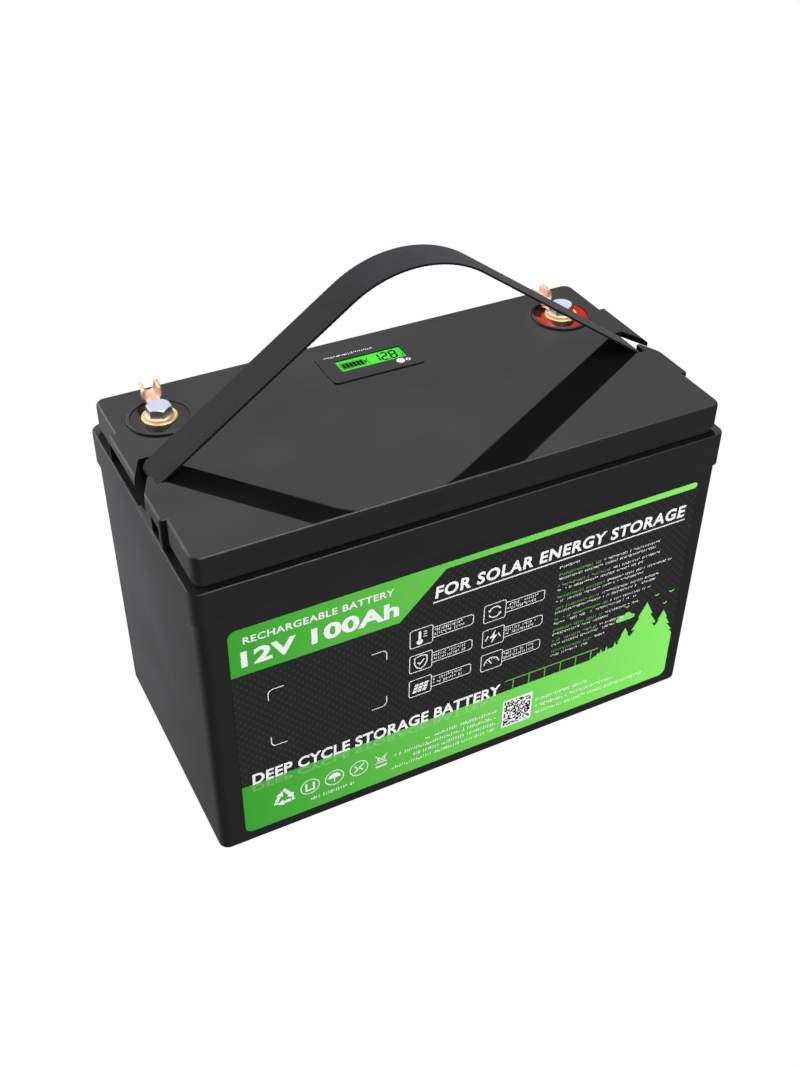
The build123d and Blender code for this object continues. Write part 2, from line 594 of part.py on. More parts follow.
for side, word in ((-1, "left"), (1, "right")):
    with BuildPart() as end_plate:
        with Locations((side * (BLOCK_HALF + END_PLATE / 2), 0, CELL_BOTTOM)):
            Box(END_PLATE, CELL_WIDTH, CELL_HEIGHT - 5, align=STANDING)
    finish(end_plate.part, f"pack_{word}_plate")
    with BuildPart() as end_foam:
        inner = BLOCK_HALF + END_PLATE + 1
        outer = CAVITY_LENGTH / 2 - 0.5
        with Locations((side * (inner + outer) / 2, 0, FLOOR)):
            Box(outer - inner, CAVITY_WIDTH - 2 * CASE_CORNER, FOAM_TOP - FLOOR, align=STANDING)
    finish(end_foam.part, f"{word}_foam")

band_length = 2 * (BLOCK_HALF + END_PLATE) + 0.1
with BuildPart() as pack_bands:
    for z in (30, 85):
        with BuildSketch(Plane.XY.offset(CELL_BOTTOM + z)):
            Rectangle(band_length + 2 * BAND_THICKNESS, CELL_WIDTH + 0.1 + 2 * BAND_THICKNESS)
            Rectangle(band_length, CELL_WIDTH + 0.1, mode=Mode.SUBTRACT)
        extrude(amount=BAND_HEIGHT)
finish(pack_bands.part, "pack_bands")

for i, (left, right) in enumerate(zip(CELL_XS, CELL_XS[1:])):
    y = PAD_Y if i % 2 == 0 else -PAD_Y
    with BuildPart() as busbar:
        with BuildSketch(Plane.XY.offset(PAD_TOP)):
            with Locations(((left + right) / 2, y)):
                RectangleRounded(PITCH + PAD_SIZE - 2, PAD_SIZE - 2, 3)
            with Locations((left, y), (right, y)):
                Circle(CELL_STUD_RADIUS + 0.2, mode=Mode.SUBTRACT)
        extrude(amount=BUSBAR_THICKNESS)
    finish(busbar.part, f"busbar_{i + 1}")

with BuildPart() as cell_nuts:
    with BuildSketch(Plane.XY.offset(BUSBAR_TOP)):
        with GridLocations(PITCH, 2 * PAD_Y, CELL_COUNT, 2):
            RegularPolygon(5, 6, major_radius=False)
            Circle(CELL_STUD_RADIUS + 0.05, mode=Mode.SUBTRACT)
    extrude(amount=NUT_HEIGHT)
finish(cell_nuts.part, "cell_nuts")

# ---------------------------------------------------------------- tray and management board
# Where the balance wires come down through the tray: on the outer cells and on the three busbars.
wire_ends = [
    (CELL_XS[0] + 7.5, -PAD_Y + 8),
    (-3, -PAD_Y),
    ((CELL_XS[0] + CELL_XS[1]) / 2, PAD_Y + 6),
    ((CELL_XS[2] + CELL_XS[3]) / 2, PAD_Y),
    (CELL_XS[3] - 7.5, -PAD_Y + 8),
]
with BuildPart() as tray:
    with BuildSketch(Plane.XY.offset(TRAY_BOTTOM)):
        Rectangle(2 * BLOCK_HALF, TRAY_WIDTH)
        with Locations(*wire_ends):
            Circle(4, mode=Mode.SUBTRACT)
    extrude(amount=TRAY_THICKNESS)
finish(tray.part, "insulation_tray")

with BuildPart() as tray_spacers:
    with Locations((0, 0, CELL_TOP)):
        with GridLocations(3 * PITCH, 60, 2, 2):
            Cylinder(4, TRAY_BOTTOM - CELL_TOP, align=STANDING)
finish(tray_spacers.part, "tray_spacers")

tray_top = TRAY_BOTTOM + TRAY_THICKNESS
with BuildPart() as bms_standoffs:
    with Locations((0, 0, tray_top)):
        with GridLocations(BMS_LENGTH - 8, BMS_WIDTH - 8, 2, 2):
            Cylinder(3, BMS_BOTTOM - tray_top, align=STANDING)
finish(bms_standoffs.part, "bms_standoffs")

with BuildPart() as bms_board:
    with Locations((0, 0, BMS_BOTTOM)):
        Box(BMS_LENGTH, BMS_WIDTH, BOARD_THICKNESS, align=STANDING)
finish(bms_board.part, "bms_board")

with BuildPart() as bms_transistors:
    with Locations((*PACKAGES_AT, BMS_TOP)):
        with GridLocations(12, 22, MOSFETS // 2, 2):
            Box(10, 15, PACKAGE_HEIGHT, align=STANDING)
finish(bms_transistors.part, "bms_transistors")

heatsink_z = BMS_TOP + PACKAGE_HEIGHT
with BuildPart() as bms_heatsink:
    with Locations((*PACKAGES_AT, heatsink_z)):
        Box(62, HEATSINK_WIDTH, HEATSINK_PLATE, align=STANDING)
    with Locations((*PACKAGES_AT, heatsink_z + HEATSINK_PLATE)):
        with GridLocations(8, 1, FIN_COUNT, 1):
            Box(1.5, HEATSINK_WIDTH, FIN_HEIGHT, align=STANDING)
finish(bms_heatsink.part, "bms_heatsink")

with BuildPart() as balance_plug:
    with Locations((0, -BMS_WIDTH / 2 + 3, BMS_TOP)):
        Box(16, 6, 6, align=STANDING)
finish(balance_plug.part, "balance_plug")


# ---------------------------------------------------------------- cables
def cable_lug(place, hole_radius, name):
    """A crimped ring lug. place has its X along the barrel and its Z away from the face that it is bolted to."""
    with BuildPart() as lug:
        with BuildSketch(place):
            Circle(hole_radius + 4)
            with Locations((CABLE_LUG_REACH / 2 - 3, 0)):
                Rectangle(CABLE_LUG_REACH - 6, 8)
            Circle(hole_radius, mode=Mode.SUBTRACT)
        extrude(amount=CABLE_LUG_THICKNESS)
        start = CABLE_LUG_REACH - CRIMP_LENGTH
        axis_point = place.from_local_coords((start, 0, CABLE_LUG_BARREL))
        barrel_plane = Plane(origin=axis_point, x_dir=place.y_dir, z_dir=place.x_dir)
        with BuildSketch(barrel_plane):
            Circle(CABLE_LUG_BARREL)
        extrude(amount=CRIMP_LENGTH)
        with BuildSketch(barrel_plane.offset(1)):
            Circle(CABLE_RADIUS + 0.1)
        extrude(amount=CRIMP_LENGTH, mode=Mode.SUBTRACT)
    finish(lug.part, name)


def tube(points, radius, bend):
    """A round cable along straight runs joined by tangent arcs."""
    with BuildPart() as cable:
        with BuildLine() as route:
            FilletPolyline(*points, radius=bend)
        with BuildSketch(Plane(origin=route.line @ 0, z_dir=route.line % 0)):
            Circle(radius)
        sweep(path=route.line)
    return cable.part


barrel_end = CABLE_LUG_REACH - 10
low_z = PAD_TOP + CABLE_LUG_BARREL
board_z = BMS_TOP + CABLE_LUG_BARREL
post_z = PLATE_UNDER - CABLE_LUG_BARREL
cell_lug_x = CELL_XS[-1]
board_lug = (-BMS_LENGTH / 2 + 8, 20)

for side, word in ((-1, "negative"), (1, "positive")):
    on_cell = Plane(origin=(side * cell_lug_x, -PAD_Y, PAD_TOP), x_dir=(side, 0, 0))
    cable_lug(on_cell, CELL_STUD_RADIUS + 0.2, f"pack_{word}_lug")
for side, word in ((-1, "negative"), (1, "positive")):
    under_lid = Plane(origin=(side * TERMINAL_X, TERMINAL_Y, PLATE_UNDER), x_dir=(0, -1, 0), z_dir=(0, 0, -1))
    cable_lug(under_lid, STUD_RADIUS + 0.2, f"{word}_post_lug")
for y, word in ((-board_lug[1], "input"), (board_lug[1], "output")):
    cable_lug(Plane(origin=(board_lug[0], y, BMS_TOP), x_dir=(-1, 0, 0)), 2.6, f"bms_{word}_lug")

positive_cable = tube(
    [
        (cell_lug_x + barrel_end, -PAD_Y, low_z),
        (TERMINAL_X, -PAD_Y, low_z),
        (TERMINAL_X, -18, post_z),
        (TERMINAL_X, TERMINAL_Y - barrel_end, post_z),
    ],
    CABLE_RADIUS,
    CABLE_BEND,
)
finish(positive_cable, "positive_cable")
pack_negative_cable = tube(
    [
        (-cell_lug_x - barrel_end, -PAD_Y, low_z),
        (-TERMINAL_X + 8, -PAD_Y, low_z),
        (-TERMINAL_X + 8, -board_lug[1], board_z),
        (board_lug[0] - barrel_end, -board_lug[1], board_z),
    ],
    CABLE_RADIUS,
    CABLE_BEND,
)
finish(pack_negative_cable, "pack_negative_cable")
output_cable = tube(
    [
        (board_lug[0] - barrel_end, board_lug[1], board_z),
        (-TERMINAL_X + 8, board_lug[1], board_z),
        (-TERMINAL_X, -18, post_z),
        (-TERMINAL_X, TERMINAL_Y - barrel_end, post_z),
    ],
    CABLE_RADIUS,
    CABLE_BEND,
)
finish(output_cable, "output_cable")

# Balance wires leave the plug side by side. Two end on the outer cells and three on the busbars, and the two
# that go to the back run round the board's right end.
wire_z = BMS_TOP + 3
plug_front = -BMS_WIDTH / 2
behind_cell_studs = PAD_Y + 6
turns = [
    [(-6, wire_ends[0][1])],
    [],
    [(0, -behind_cell_studs), (86, -behind_cell_studs), (86, wire_ends[2][1])],
    [(3, -PAD_Y + 1), (80, -PAD_Y + 1), (80, wire_ends[3][1])],
    [(6, wire_ends[4][1])],
]
wires = []
for i, (turn, end) in enumerate(zip(turns, wire_ends)):
    flat = [(3.0 * (i - 2), plug_front), *turn, end]
    end_z = PAD_TOP if i in (0, 4) else BUSBAR_TOP
    wires.append(tube([*((x, y, wire_z) for x, y in flat), (*end, end_z)], WIRE_RADIUS, WIRE_BEND))
with BuildPart() as balance_wires:
    add(wires)
finish(balance_wires.part, "balance_wires")

display_wires_x = (-18.0, -14.0)
display_wires_end_y = 32.0
with BuildPart() as display_wires:
    add(
        [
            tube(
                [
                    (x, DISPLAY_Y, BOARD_BOTTOM),
                    (x, DISPLAY_Y, BMS_TOP + 30),
                    (x, display_wires_end_y, BMS_TOP + 12),
                    (x, display_wires_end_y, BMS_TOP),
                ],
                WIRE_RADIUS,
                WIRE_BEND,
            )
            for x in display_wires_x
        ]
    )
finish(display_wires.part, "display_wires")

fins_top = heatsink_z + HEATSINK_PLATE + FIN_HEIGHT
with BuildPart() as top_foam:
    with Locations((0, -24, fins_top + 0.5)):
        Box(190, 100, PLATE_UNDER - RIB_DEPTH - fins_top - 1, align=STANDING)
finish(top_foam.part, "top_foam")
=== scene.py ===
"""The looks of a 12 V deep cycle battery: moulded shell, printed label, webbing strap, bolted terminals, display.

The file is laid out as an add-on and run as a script. Every operator makes one group of pieces round the packed
frame, in metres. Sizes that follow a CAD part are read from the frame.
"""

import math

import bmesh
import bpy
from mathutils import Matrix, Vector


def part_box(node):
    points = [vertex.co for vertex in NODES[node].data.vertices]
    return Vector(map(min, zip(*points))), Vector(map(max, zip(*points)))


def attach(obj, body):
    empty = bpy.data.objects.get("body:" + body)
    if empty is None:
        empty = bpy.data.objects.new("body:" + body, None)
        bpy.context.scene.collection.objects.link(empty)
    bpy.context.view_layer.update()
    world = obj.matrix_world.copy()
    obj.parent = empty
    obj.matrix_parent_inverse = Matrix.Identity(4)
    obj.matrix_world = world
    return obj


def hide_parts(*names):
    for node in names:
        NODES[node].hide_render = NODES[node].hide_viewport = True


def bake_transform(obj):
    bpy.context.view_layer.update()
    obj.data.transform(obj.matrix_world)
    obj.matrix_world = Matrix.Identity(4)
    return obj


bl_info = {
    "name": "Deep Cycle Battery",
    "version": (1, 0, 0),
    "blender": (4, 5, 0),
    "location": "3D Viewport > Sidebar > Battery",
    "description": "Builds the visible pieces and materials of a deep cycle battery",
    "category": "Object",
}

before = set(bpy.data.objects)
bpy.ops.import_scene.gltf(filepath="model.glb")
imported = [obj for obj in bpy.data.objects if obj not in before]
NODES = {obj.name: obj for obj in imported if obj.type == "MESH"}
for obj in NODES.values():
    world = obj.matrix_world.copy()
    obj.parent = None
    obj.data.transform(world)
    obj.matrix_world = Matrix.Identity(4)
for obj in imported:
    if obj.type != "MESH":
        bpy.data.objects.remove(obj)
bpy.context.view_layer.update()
MM = 0.001
BATTERY = "battery"  # the body that everything fixed rides on
BUTTON = "button"


def linear(hex_colour):
    """A hex sRGB colour as linear red, green, blue and alpha."""
    values = [int(hex_colour[i : i + 2], 16) / 255 for i in (1, 3, 5)]
    return (*(v / 12.92 if v <= 0.04045 else ((v + 0.055) / 1.055) ** 2.4 for v in values), 1.0)


# ------------------------------------------------------------------------------------------- settings
def colour_setting(name, description, hex_colour):
    """A colour to choose."""
    return bpy.props.FloatVectorProperty(
        name=name, description=description, subtype="COLOR", size=4, min=0, max=1, default=linear(hex_colour)
    )


def length_setting(name, description, millimetres):
    """A length to choose."""
    return bpy.props.FloatProperty(name=name, description=description, default=millimetres * MM, unit="LENGTH")


def number_setting(name, description, default):
    """A strength or ratio to choose."""
    return bpy.props.FloatProperty(name=name, description=description, default=default, min=0)


def text_setting(name, description, default):
    """Words to choose."""
    return bpy.props.StringProperty(name=name, description=description, default=default)


class ShellSettings(bpy.types.PropertyGroup):
    """Sizes and colours of the moulded case and lid."""

    colour: colour_setting("Plastic", "Colour of the moulded case and lid", "#262627")
    grain: length_setting("Grain", "Size of the mould's spark-eroded grain", 0.7)


class LabelSettings(bpy.types.PropertyGroup):
    """Colours and words of the label on the front wall."""

    green_left: colour_setting("Green, left", "The printed green at the label's left edge", "#3fa736")
    green_right: colour_setting("Green, right", "The printed green at the label's right edge", "#8df06c")
    black: colour_setting("Black", "The film's printed black", "#2c2c2d")
    title: text_setting("Title", "Words of the upper title", "FOR SOLAR ENERGY STORAGE")
    rating: text_setting("Rating", "Words in the header", "12V 100Ah")


class StrapSettings(bpy.types.PropertyGroup):
    """Sizes and colour of the carrying strap."""

    colour: colour_setting("Yarn", "Colour of the polyester yarn", "#1d1d1f")
    width: length_setting("Width", "Width of the webbing", 25)
    thickness: length_setting("Thickness", "Thickness of the webbing", 1.4)
    rib_pitch: length_setting("Rib pitch", "Distance between the twill's ribs along the strap", 3.0)
    rib_lean: number_setting("Rib lean", "How far a rib runs along the strap for each step across it", 1.7)
    rib_depth: length_setting("Rib depth", "Height of the twill's ribs", 0.09)


class TerminalSettings(bpy.types.PropertyGroup):
    """Colours of the terminals' parts."""

    positive: colour_setting("Positive", "Colour of the positive collar", "#7a1712")
    negative: colour_setting("Negative", "Colour of the negative collar", "#242425")


class DisplaySettings(bpy.types.PropertyGroup):
    """The capacity display's light and reading."""

    glow: colour_setting("Glow", "Colour of the lit display", "#58e845")
    strength: number_setting("Strength", "Brightness of the lit display", 1.0)
    reading: text_setting("Reading", "Volts that the display shows, in the digits 1, 2 and 8", "12.8")


class StageSettings(bpy.types.PropertyGroup):
    """Strengths of the lights. A panel's is in watts."""

    key: number_setting("Key light", "Strength of the light from behind", 16.6)
    sky: number_setting("Sky", "Strength of the even light from all sides", 0.03)
    front: number_setting("Front light", "Power of the low panel before the label", 24.0)
    end: number_setting("End light", "Power of the panel beside the left end", 17.0)
    metal: number_setting("Metal light", "Power of each panel that the terminals mirror", 11.5)
    edge: number_setting("Edge light", "Power of the overhead panel that picks out the edges", 13.0)


# ------------------------------------------------------------------------------------------- node trees
MATH = "ShaderNodeMath"
NOISE = "ShaderNodeTexNoise"
RANGE = "ShaderNodeMapRange"
TINT = "ShaderNodeHueSaturation"
BUMP = "ShaderNodeBump"
SPLIT = "ShaderNodeSeparateXYZ"
JOIN = "ShaderNodeCombineXYZ"
RANDOM = "FunctionNodeRandomValue"
QUAD = "GeometryNodeCurvePrimitiveQuadrilateral"
TO_INSTANCE = "GeometryNodeGeometryToInstance"
GATHER = "GeometryNodeJoinGeometry"


def add_node(tree, kind, inputs=(), **settings):
    """Adds a node with its settings. Its inputs are a list in order or a dictionary by name.

    Each input gets a value, or a link from a socket or from a node's first output, or a list of such links, or a sum
    as a tuple of its operation and its numbers.
    """
    node = tree.nodes.new(kind)
    for name, value in settings.items():
        setattr(node, name, value)
    for key, value in inputs.items() if isinstance(inputs, dict) else enumerate(inputs):
        for each in value if isinstance(value, list) else [value]:
            if isinstance(each, tuple) and isinstance(each[0], str):
                each = add_node(tree, MATH, each[1:], operation=each[0])
            if isinstance(each, bpy.types.Node):
                each = each.outputs[0]
            if isinstance(each, bpy.types.NodeSocket):
                tree.links.new(each, node.inputs[key])
            else:
                node.inputs[key].default_value = each
    return node


def patchy(tree, place, size_mm, low, high, detail=2.0):
    """Soft patches about that many millimetres across, whose values run from low to high."""
    patches = add_node(tree, NOISE, {"Vector": place, "Scale": 1 / size_mm, "Detail": detail})
    return add_node(tree, RANGE, [patches, 0.3, 0.7, low, high])


def wave(tree, along, pitch, operation="SINE"):
    """A wave of that pitch along a value."""
    turns = add_node(tree, MATH, [along, 2 * math.pi / pitch], operation="MULTIPLY")
    return add_node(tree, MATH, [turns], operation=operation)


def blank_material(name):
    """A new material, its empty node tree, and Object coordinates in millimetres."""
    material = bpy.data.materials.new(name)
    material.use_nodes = True
    tree = material.node_tree
    tree.nodes.clear()
    place = add_node(tree, "ShaderNodeTexCoord").outputs["Object"]
    scaled = add_node(tree, "ShaderNodeVectorMath", {"Vector": place, "Scale": 1 / MM}, operation="SCALE")
    return material, tree, scaled


def close_material(tree, inputs):
    """Ends a material's tree in one Principled shader with those inputs."""
    shader = add_node(tree, "ShaderNodeBsdfPrincipled", inputs)
    add_node(tree, "ShaderNodeOutputMaterial", {"Surface": shader})


# ------------------------------------------------------------------------------------------- materials
def moulded_abs(name, colour, grain_mm=0.7, roughness=0.42, grain_depth=0.035, wear_and_highlight=1.0):
    """ABS moulded in a spark-eroded tool: an even satin skin whose fine grain breaks up every highlight.

    The real grain is about 0.2 mm and is drawn coarser so that it shows. Corners are painted lighter: partly the rub of
    handling, partly a painted highlight along the rounded edges.
    """
    material, tree, place = blank_material(name)
    grain = add_node(tree, NOISE, {"Vector": place, "Scale": 1 / grain_mm, "Detail": 3.0})
    flow = add_node(tree, NOISE, {"Vector": place, "Scale": 1 / 45.0, "Detail": 3.0})
    tone = add_node(tree, RANGE, [flow, 0.3, 0.7, 0.93, 1.07])
    # Painted highlight and rub: the rounded edges that the Bevel node finds are painted lighter.
    edge_normal = add_node(tree, "ShaderNodeBevel", {"Radius": 0.9 * MM}, samples=6)
    face_normal = add_node(tree, "ShaderNodeNewGeometry").outputs["Normal"]
    facing = add_node(tree, "ShaderNodeVectorMath", [edge_normal, face_normal], operation="DOT_PRODUCT")
    edge = add_node(tree, RANGE, [facing.outputs["Value"], 0.86, 0.995, 1.0, 0.0])
    rub_and_highlight = add_node(tree, MATH, [edge, add_node(tree, RANGE, [grain, 0.3, 0.7, 0.3, 1.0])], operation="MULTIPLY")
    lighter = add_node(tree, MATH, [rub_and_highlight, wear_and_highlight, 1.0], operation="MULTIPLY_ADD")
    base = add_node(tree, TINT, {"Color": colour, "Value": ("MULTIPLY", tone, lighter)})
    rough = add_node(tree, RANGE, [flow, 0.3, 0.7, roughness - 0.015, roughness + 0.02])
    close_material(
        tree,
        {
            "Base Color": base,
            "Roughness": rough,
            "IOR": 1.53,
            "Normal": add_node(tree, BUMP, {"Height": grain, "Distance": grain_depth * MM}),
        },
    )
    return material


def printed_film(name, colour, dimples=True):
    """Vinyl film printed black under a satin laminate, with rows of small raised ovals that catch the light.

    The ovals stand 5 mm apart in a row, and each row is offset from the next.
    """
    material, tree, place = blank_material(name)
    tone = patchy(tree, place, 0.9, 0.94, 1.06)
    inputs = {"Roughness": patchy(tree, place, 14.0, 0.38, 0.44), "IOR": 1.5}
    if dimples:
        parts = add_node(tree, SPLIT, [place])
        across = wave(tree, parts.outputs["X"], 5.0, "COSINE")
        upward = wave(tree, parts.outputs["Z"], 5.6, "COSINE")
        ovals = add_node(tree, RANGE, [("MULTIPLY", across, upward), 0.25, 0.8, 0.0, 1.0])
        # Painted highlight: the raised ovals are painted lighter as well as bumped, where they catch the light.
        tone = add_node(tree, MATH, [tone, ("MULTIPLY_ADD", ovals, 0.55, 0.86)], operation="MULTIPLY")
        inputs["Normal"] = add_node(tree, BUMP, {"Height": ovals, "Distance": 0.08 * MM})
    inputs["Base Color"] = add_node(tree, TINT, {"Color": colour, "Value": tone})
    close_material(tree, inputs)
    return material


def green_ink(name, left, right, low_x, high_x, shade=1.0):
    """Screen-printed green, faintly mottled like any thin coat, that blends from left to right between two X in mm."""
    material, tree, place = blank_material(name)
    along = add_node(tree, SPLIT, [place]).outputs["X"]
    share = add_node(tree, RANGE, [along, low_x, high_x, 0.0, 1.0])
    blend = add_node(tree, "ShaderNodeMix", {"Factor": share, "A": left, "B": right}, data_type="RGBA")
    mottle = patchy(tree, place, 1.2, 0.97 * shade, 1.03 * shade)
    colour = add_node(tree, TINT, {"Color": blend.outputs["Result"], "Value": mottle})
    close_material(tree, {"Base Color": colour, "Roughness": 0.42, "IOR": 1.5})
    return material


def white_ink(name, hex_colour="#fafafa"):
    """Opaque screen-printed white: matt, with a slight mottle where the coat is thin."""
    material, tree, place = blank_material(name)
    mottle = patchy(tree, place, 0.8, 0.95, 1.0)
    close_material(
        tree,
        {
            "Base Color": add_node(tree, TINT, {"Color": linear(hex_colour), "Value": mottle}),
            "Roughness": 0.5,
            "IOR": 1.5,
        },
    )
    return material


def woven_polyester(name, colour, width, rib_pitch, lean):
    """Polyester webbing: filament yarn in slanted ribs, nearly matt, with painted shade down in the grooves between
    them.

    The UV map holds millimetres across and along the strap, and the ribs follow those of its mesh. A yarn is 0.5 mm
    wide and is drawn at 0.9 mm. The yarn is drawn darker towards both edges.
    """
    material, tree, place = blank_material(name)
    strap_uv = add_node(tree, "ShaderNodeUVMap", uv_map="UVMap")
    parts = add_node(tree, SPLIT, [strap_uv])
    across, along = parts.outputs["X"], parts.outputs["Y"]
    phase = add_node(tree, MATH, [across, -lean / rib_pitch, ("DIVIDE", along, rib_pitch)], operation="MULTIPLY_ADD")
    phase = add_node(
        tree, MATH, [add_node(tree, NOISE, {"Vector": place, "Scale": 1 / 4.0}), 0.9, phase], operation="MULTIPLY_ADD"
    )
    rib = wave(tree, phase, 1.0)
    # Painted shade: the tone falls to 0.7 down in each groove between the ribs.
    groove_shade = add_node(tree, RANGE, [rib, -1.0, 0.6, 0.7, 1.18])
    yarn = wave(tree, across, 0.9)
    fuzz = add_node(tree, NOISE, {"Vector": place, "Scale": 1 / 0.35, "Detail": 4.0})
    patch = patchy(tree, place, 18.0, 0.92, 1.08)
    # Darker within 0.9 mm of either edge.
    edge_darkening = add_node(tree, RANGE, [("ABSOLUTE", across), width / 2 - 0.9, width / 2 - 0.3, 1.0, 0.5])
    tone = add_node(tree, MATH, [groove_shade, patch], operation="MULTIPLY")
    tone = add_node(tree, MATH, [tone, add_node(tree, RANGE, [yarn, -1.0, 1.0, 0.88, 1.08])], operation="MULTIPLY")
    tone = add_node(tree, MATH, [tone, add_node(tree, RANGE, [fuzz, 0.3, 0.7, 0.8, 1.2])], operation="MULTIPLY")
    tone = add_node(tree, MATH, [tone, edge_darkening], operation="MULTIPLY")
    height = add_node(tree, MATH, [yarn, 0.35, ("MULTIPLY_ADD", fuzz, 0.6, rib)], operation="MULTIPLY_ADD")
    close_material(
        tree,
        {
            "Base Color": add_node(tree, TINT, {"Color": colour, "Value": tone}),
            "Roughness": 0.8,
            "Sheen Weight": 0.05,
            "Sheen Roughness": 0.5,
            "IOR": 1.5,
            "Specular IOR Level": 0.2,
            "Normal": add_node(tree, BUMP, {"Height": height, "Distance": 0.04 * MM}),
        },
    )
    return material


def metal(name, hex_colour, roughness, rings_at=None, scratch_mm=6.0, tone=0.08):
    """A bare or plated metal. rings_at is the (x, y), in millimetres, that a turned face's fine rings run round.

    The rings are mirrored in X, so both terminals have them. Handling leaves patches that are duller.
    """
    material, tree, place = blank_material(name)
    patch = add_node(tree, NOISE, {"Vector": place, "Scale": 1 / scratch_mm, "Detail": 4.0})
    base = add_node(
        tree, TINT, {"Color": linear(hex_colour), "Value": add_node(tree, RANGE, [patch, 0.3, 0.7, 1 - tone, 1 + tone])}
    )
    stretched = add_node(tree, "ShaderNodeMapping", {"Vector": place, "Scale": (1.0, 6.0, 1.0)})
    height = add_node(tree, NOISE, {"Vector": stretched, "Scale": 1 / 2.4})
    if rings_at:
        parts = add_node(tree, SPLIT, [place])
        off_x = add_node(tree, MATH, [("ABSOLUTE", parts.outputs["X"]), rings_at[0]], operation="SUBTRACT")
        off_y = add_node(tree, MATH, [parts.outputs["Y"], rings_at[1]], operation="SUBTRACT")
        squares = add_node(tree, MATH, [("POWER", off_x, 2.0), ("POWER", off_y, 2.0)], operation="ADD")
        radius = add_node(tree, MATH, [squares], operation="SQRT")
        height = add_node(tree, RANGE, [wave(tree, radius, 0.7), -1, 1, 0, 1])
    close_material(
        tree,
        {
            "Base Color": base,
            "Metallic": 1.0,
            "Roughness": add_node(tree, RANGE, [patch, 0.3, 0.7, roughness - 0.03, roughness + 0.05]),
            "Normal": add_node(tree, BUMP, {"Height": height, "Distance": (0.004 if rings_at else 0.0008) * MM}),
        },
    )
    return material


def foam(name, hex_colour):
    """Closed-cell foam cut from sheet: open bubbles of about 1 mm on every cut face."""
    material, tree, place = blank_material(name)
    # Painted shade: the open bubbles are painted darker towards their middles, where their pits lie deepest.
    cells = add_node(tree, "ShaderNodeTexVoronoi", {"Vector": place, "Scale": 1 / 1.1})
    close_material(
        tree,
        {
            "Base Color": add_node(
                tree, TINT, {"Color": linear(hex_colour), "Value": add_node(tree, RANGE, [cells, 0.0, 0.8, 0.7, 1.15])}
            ),
            "Roughness": 0.9,
            "Normal": add_node(tree, BUMP, {"Height": cells, "Distance": 0.4 * MM}),
        },
    )
    return material


def shrink_film(name, hex_colour):
    """Heat-shrunk film over an aluminium can: glossy, slightly rippled, with an overlapped seam's darker line."""
    material, tree, place = blank_material(name)
    ripple = add_node(tree, NOISE, {"Vector": place, "Scale": 1 / 22.0, "Detail": 3.0})
    upright = add_node(tree, SPLIT, [place]).outputs["Z"]
    band = add_node(tree, MATH, [upright, 64.0, 0.6], operation="COMPARE")
    tone = add_node(tree, MATH, [band, -0.35, 1.0], operation="MULTIPLY_ADD")
    close_material(
        tree,
        {
            "Base Color": add_node(tree, TINT, {"Color": linear(hex_colour), "Value": tone}),
            "Roughness": add_node(tree, RANGE, [ripple, 0.3, 0.7, 0.18, 0.3]),
            "Coat Weight": 0.3,
            "Normal": add_node(tree, BUMP, {"Height": ripple, "Distance": 0.5 * MM}),
        },
    )
    return material


def glass_epoxy(name, hex_colour, weave_mm=1.6, copper=False):
    """Glass-epoxy laminate: the cloth's square weave shows through the resin. copper adds masked tracks."""
    material, tree, place = blank_material(name)
    weave = add_node(tree, "ShaderNodeTexChecker", {"Vector": place, "Scale": 1 / weave_mm}).outputs["Fac"]
    height = weave
    tone = add_node(tree, RANGE, [weave, 0.0, 1.0, 0.94, 1.06])
    if copper:
        bricks = {"Vector": place, "Scale": 0.12, "Mortar Size": 0.03, "Brick Width": 0.9, "Row Height": 0.35}
        tracks = add_node(tree, "ShaderNodeTexBrick", bricks, offset=0.35).outputs["Fac"]
        tone = add_node(tree, MATH, [tracks, 0.6, 0.95], operation="MULTIPLY_ADD")
        height = tracks
    close_material(
        tree,
        {
            "Base Color": add_node(tree, TINT, {"Color": linear(hex_colour), "Value": tone}),
            "Roughness": 0.3,
            "Coat Weight": 0.2,
            "Normal": add_node(tree, BUMP, {"Height": height, "Distance": 0.04 * MM}),
        },
    )
    return material


def silicone_jacket(name, hex_colour):
    """An extruded silicone cable jacket: soft, slightly dusty, with faint marks from the die."""
    material, tree, place = blank_material(name)
    dust = add_node(tree, NOISE, {"Vector": place, "Scale": 1 / 3.0, "Detail": 4.0})
    close_material(
        tree,
        {
            "Base Color": add_node(
                tree, TINT, {"Color": linear(hex_colour), "Value": add_node(tree, RANGE, [dust, 0.3, 0.7, 0.9, 1.15])}
            ),
            "Roughness": 0.55,
            "Specular IOR Level": 0.4,
            "Normal": add_node(tree, BUMP, {"Height": dust, "Distance": 0.05 * MM}),
        },
    )
    return material


def clear_window(name):
    """A clear moulded acrylic window: only its gloss shows, dulled here and there by finger marks."""
    material, tree, place = blank_material(name)
    marks = patchy(tree, place, 7.0, 0.04, 0.12, 3.0)
    close_material(tree, {"Base Color": (0.004, 0.006, 0.004, 1.0), "Roughness": marks, "IOR": 1.49, "Alpha": 0.05})
    return material


def lit_glass(name, colour, strength):
    """The display's back-lit glass: an even glow that falls off a little towards its ends."""
    material, tree, place = blank_material(name)
    along = add_node(tree, SPLIT, [place]).outputs["X"]
    falloff = add_node(tree, RANGE, [("ABSOLUTE", ("SUBTRACT", along, 1.4)), 8.0, 24.0, 1.0, 0.82])
    mottle = add_node(tree, MATH, [falloff, patchy(tree, place, 2.0, 0.97, 1.03)], operation="MULTIPLY")
    glow = add_node(tree, TINT, {"Color": colour, "Value": mottle})
    close_material(
        tree,
        {
            "Base Color": add_node(tree, TINT, {"Color": colour, "Value": ("MULTIPLY", mottle, 0.08)}),
            "Roughness": 0.5,
            "Specular IOR Level": 0.1,
            "Emission Color": glow,
            "Emission Strength": strength,
        },
    )
    return material


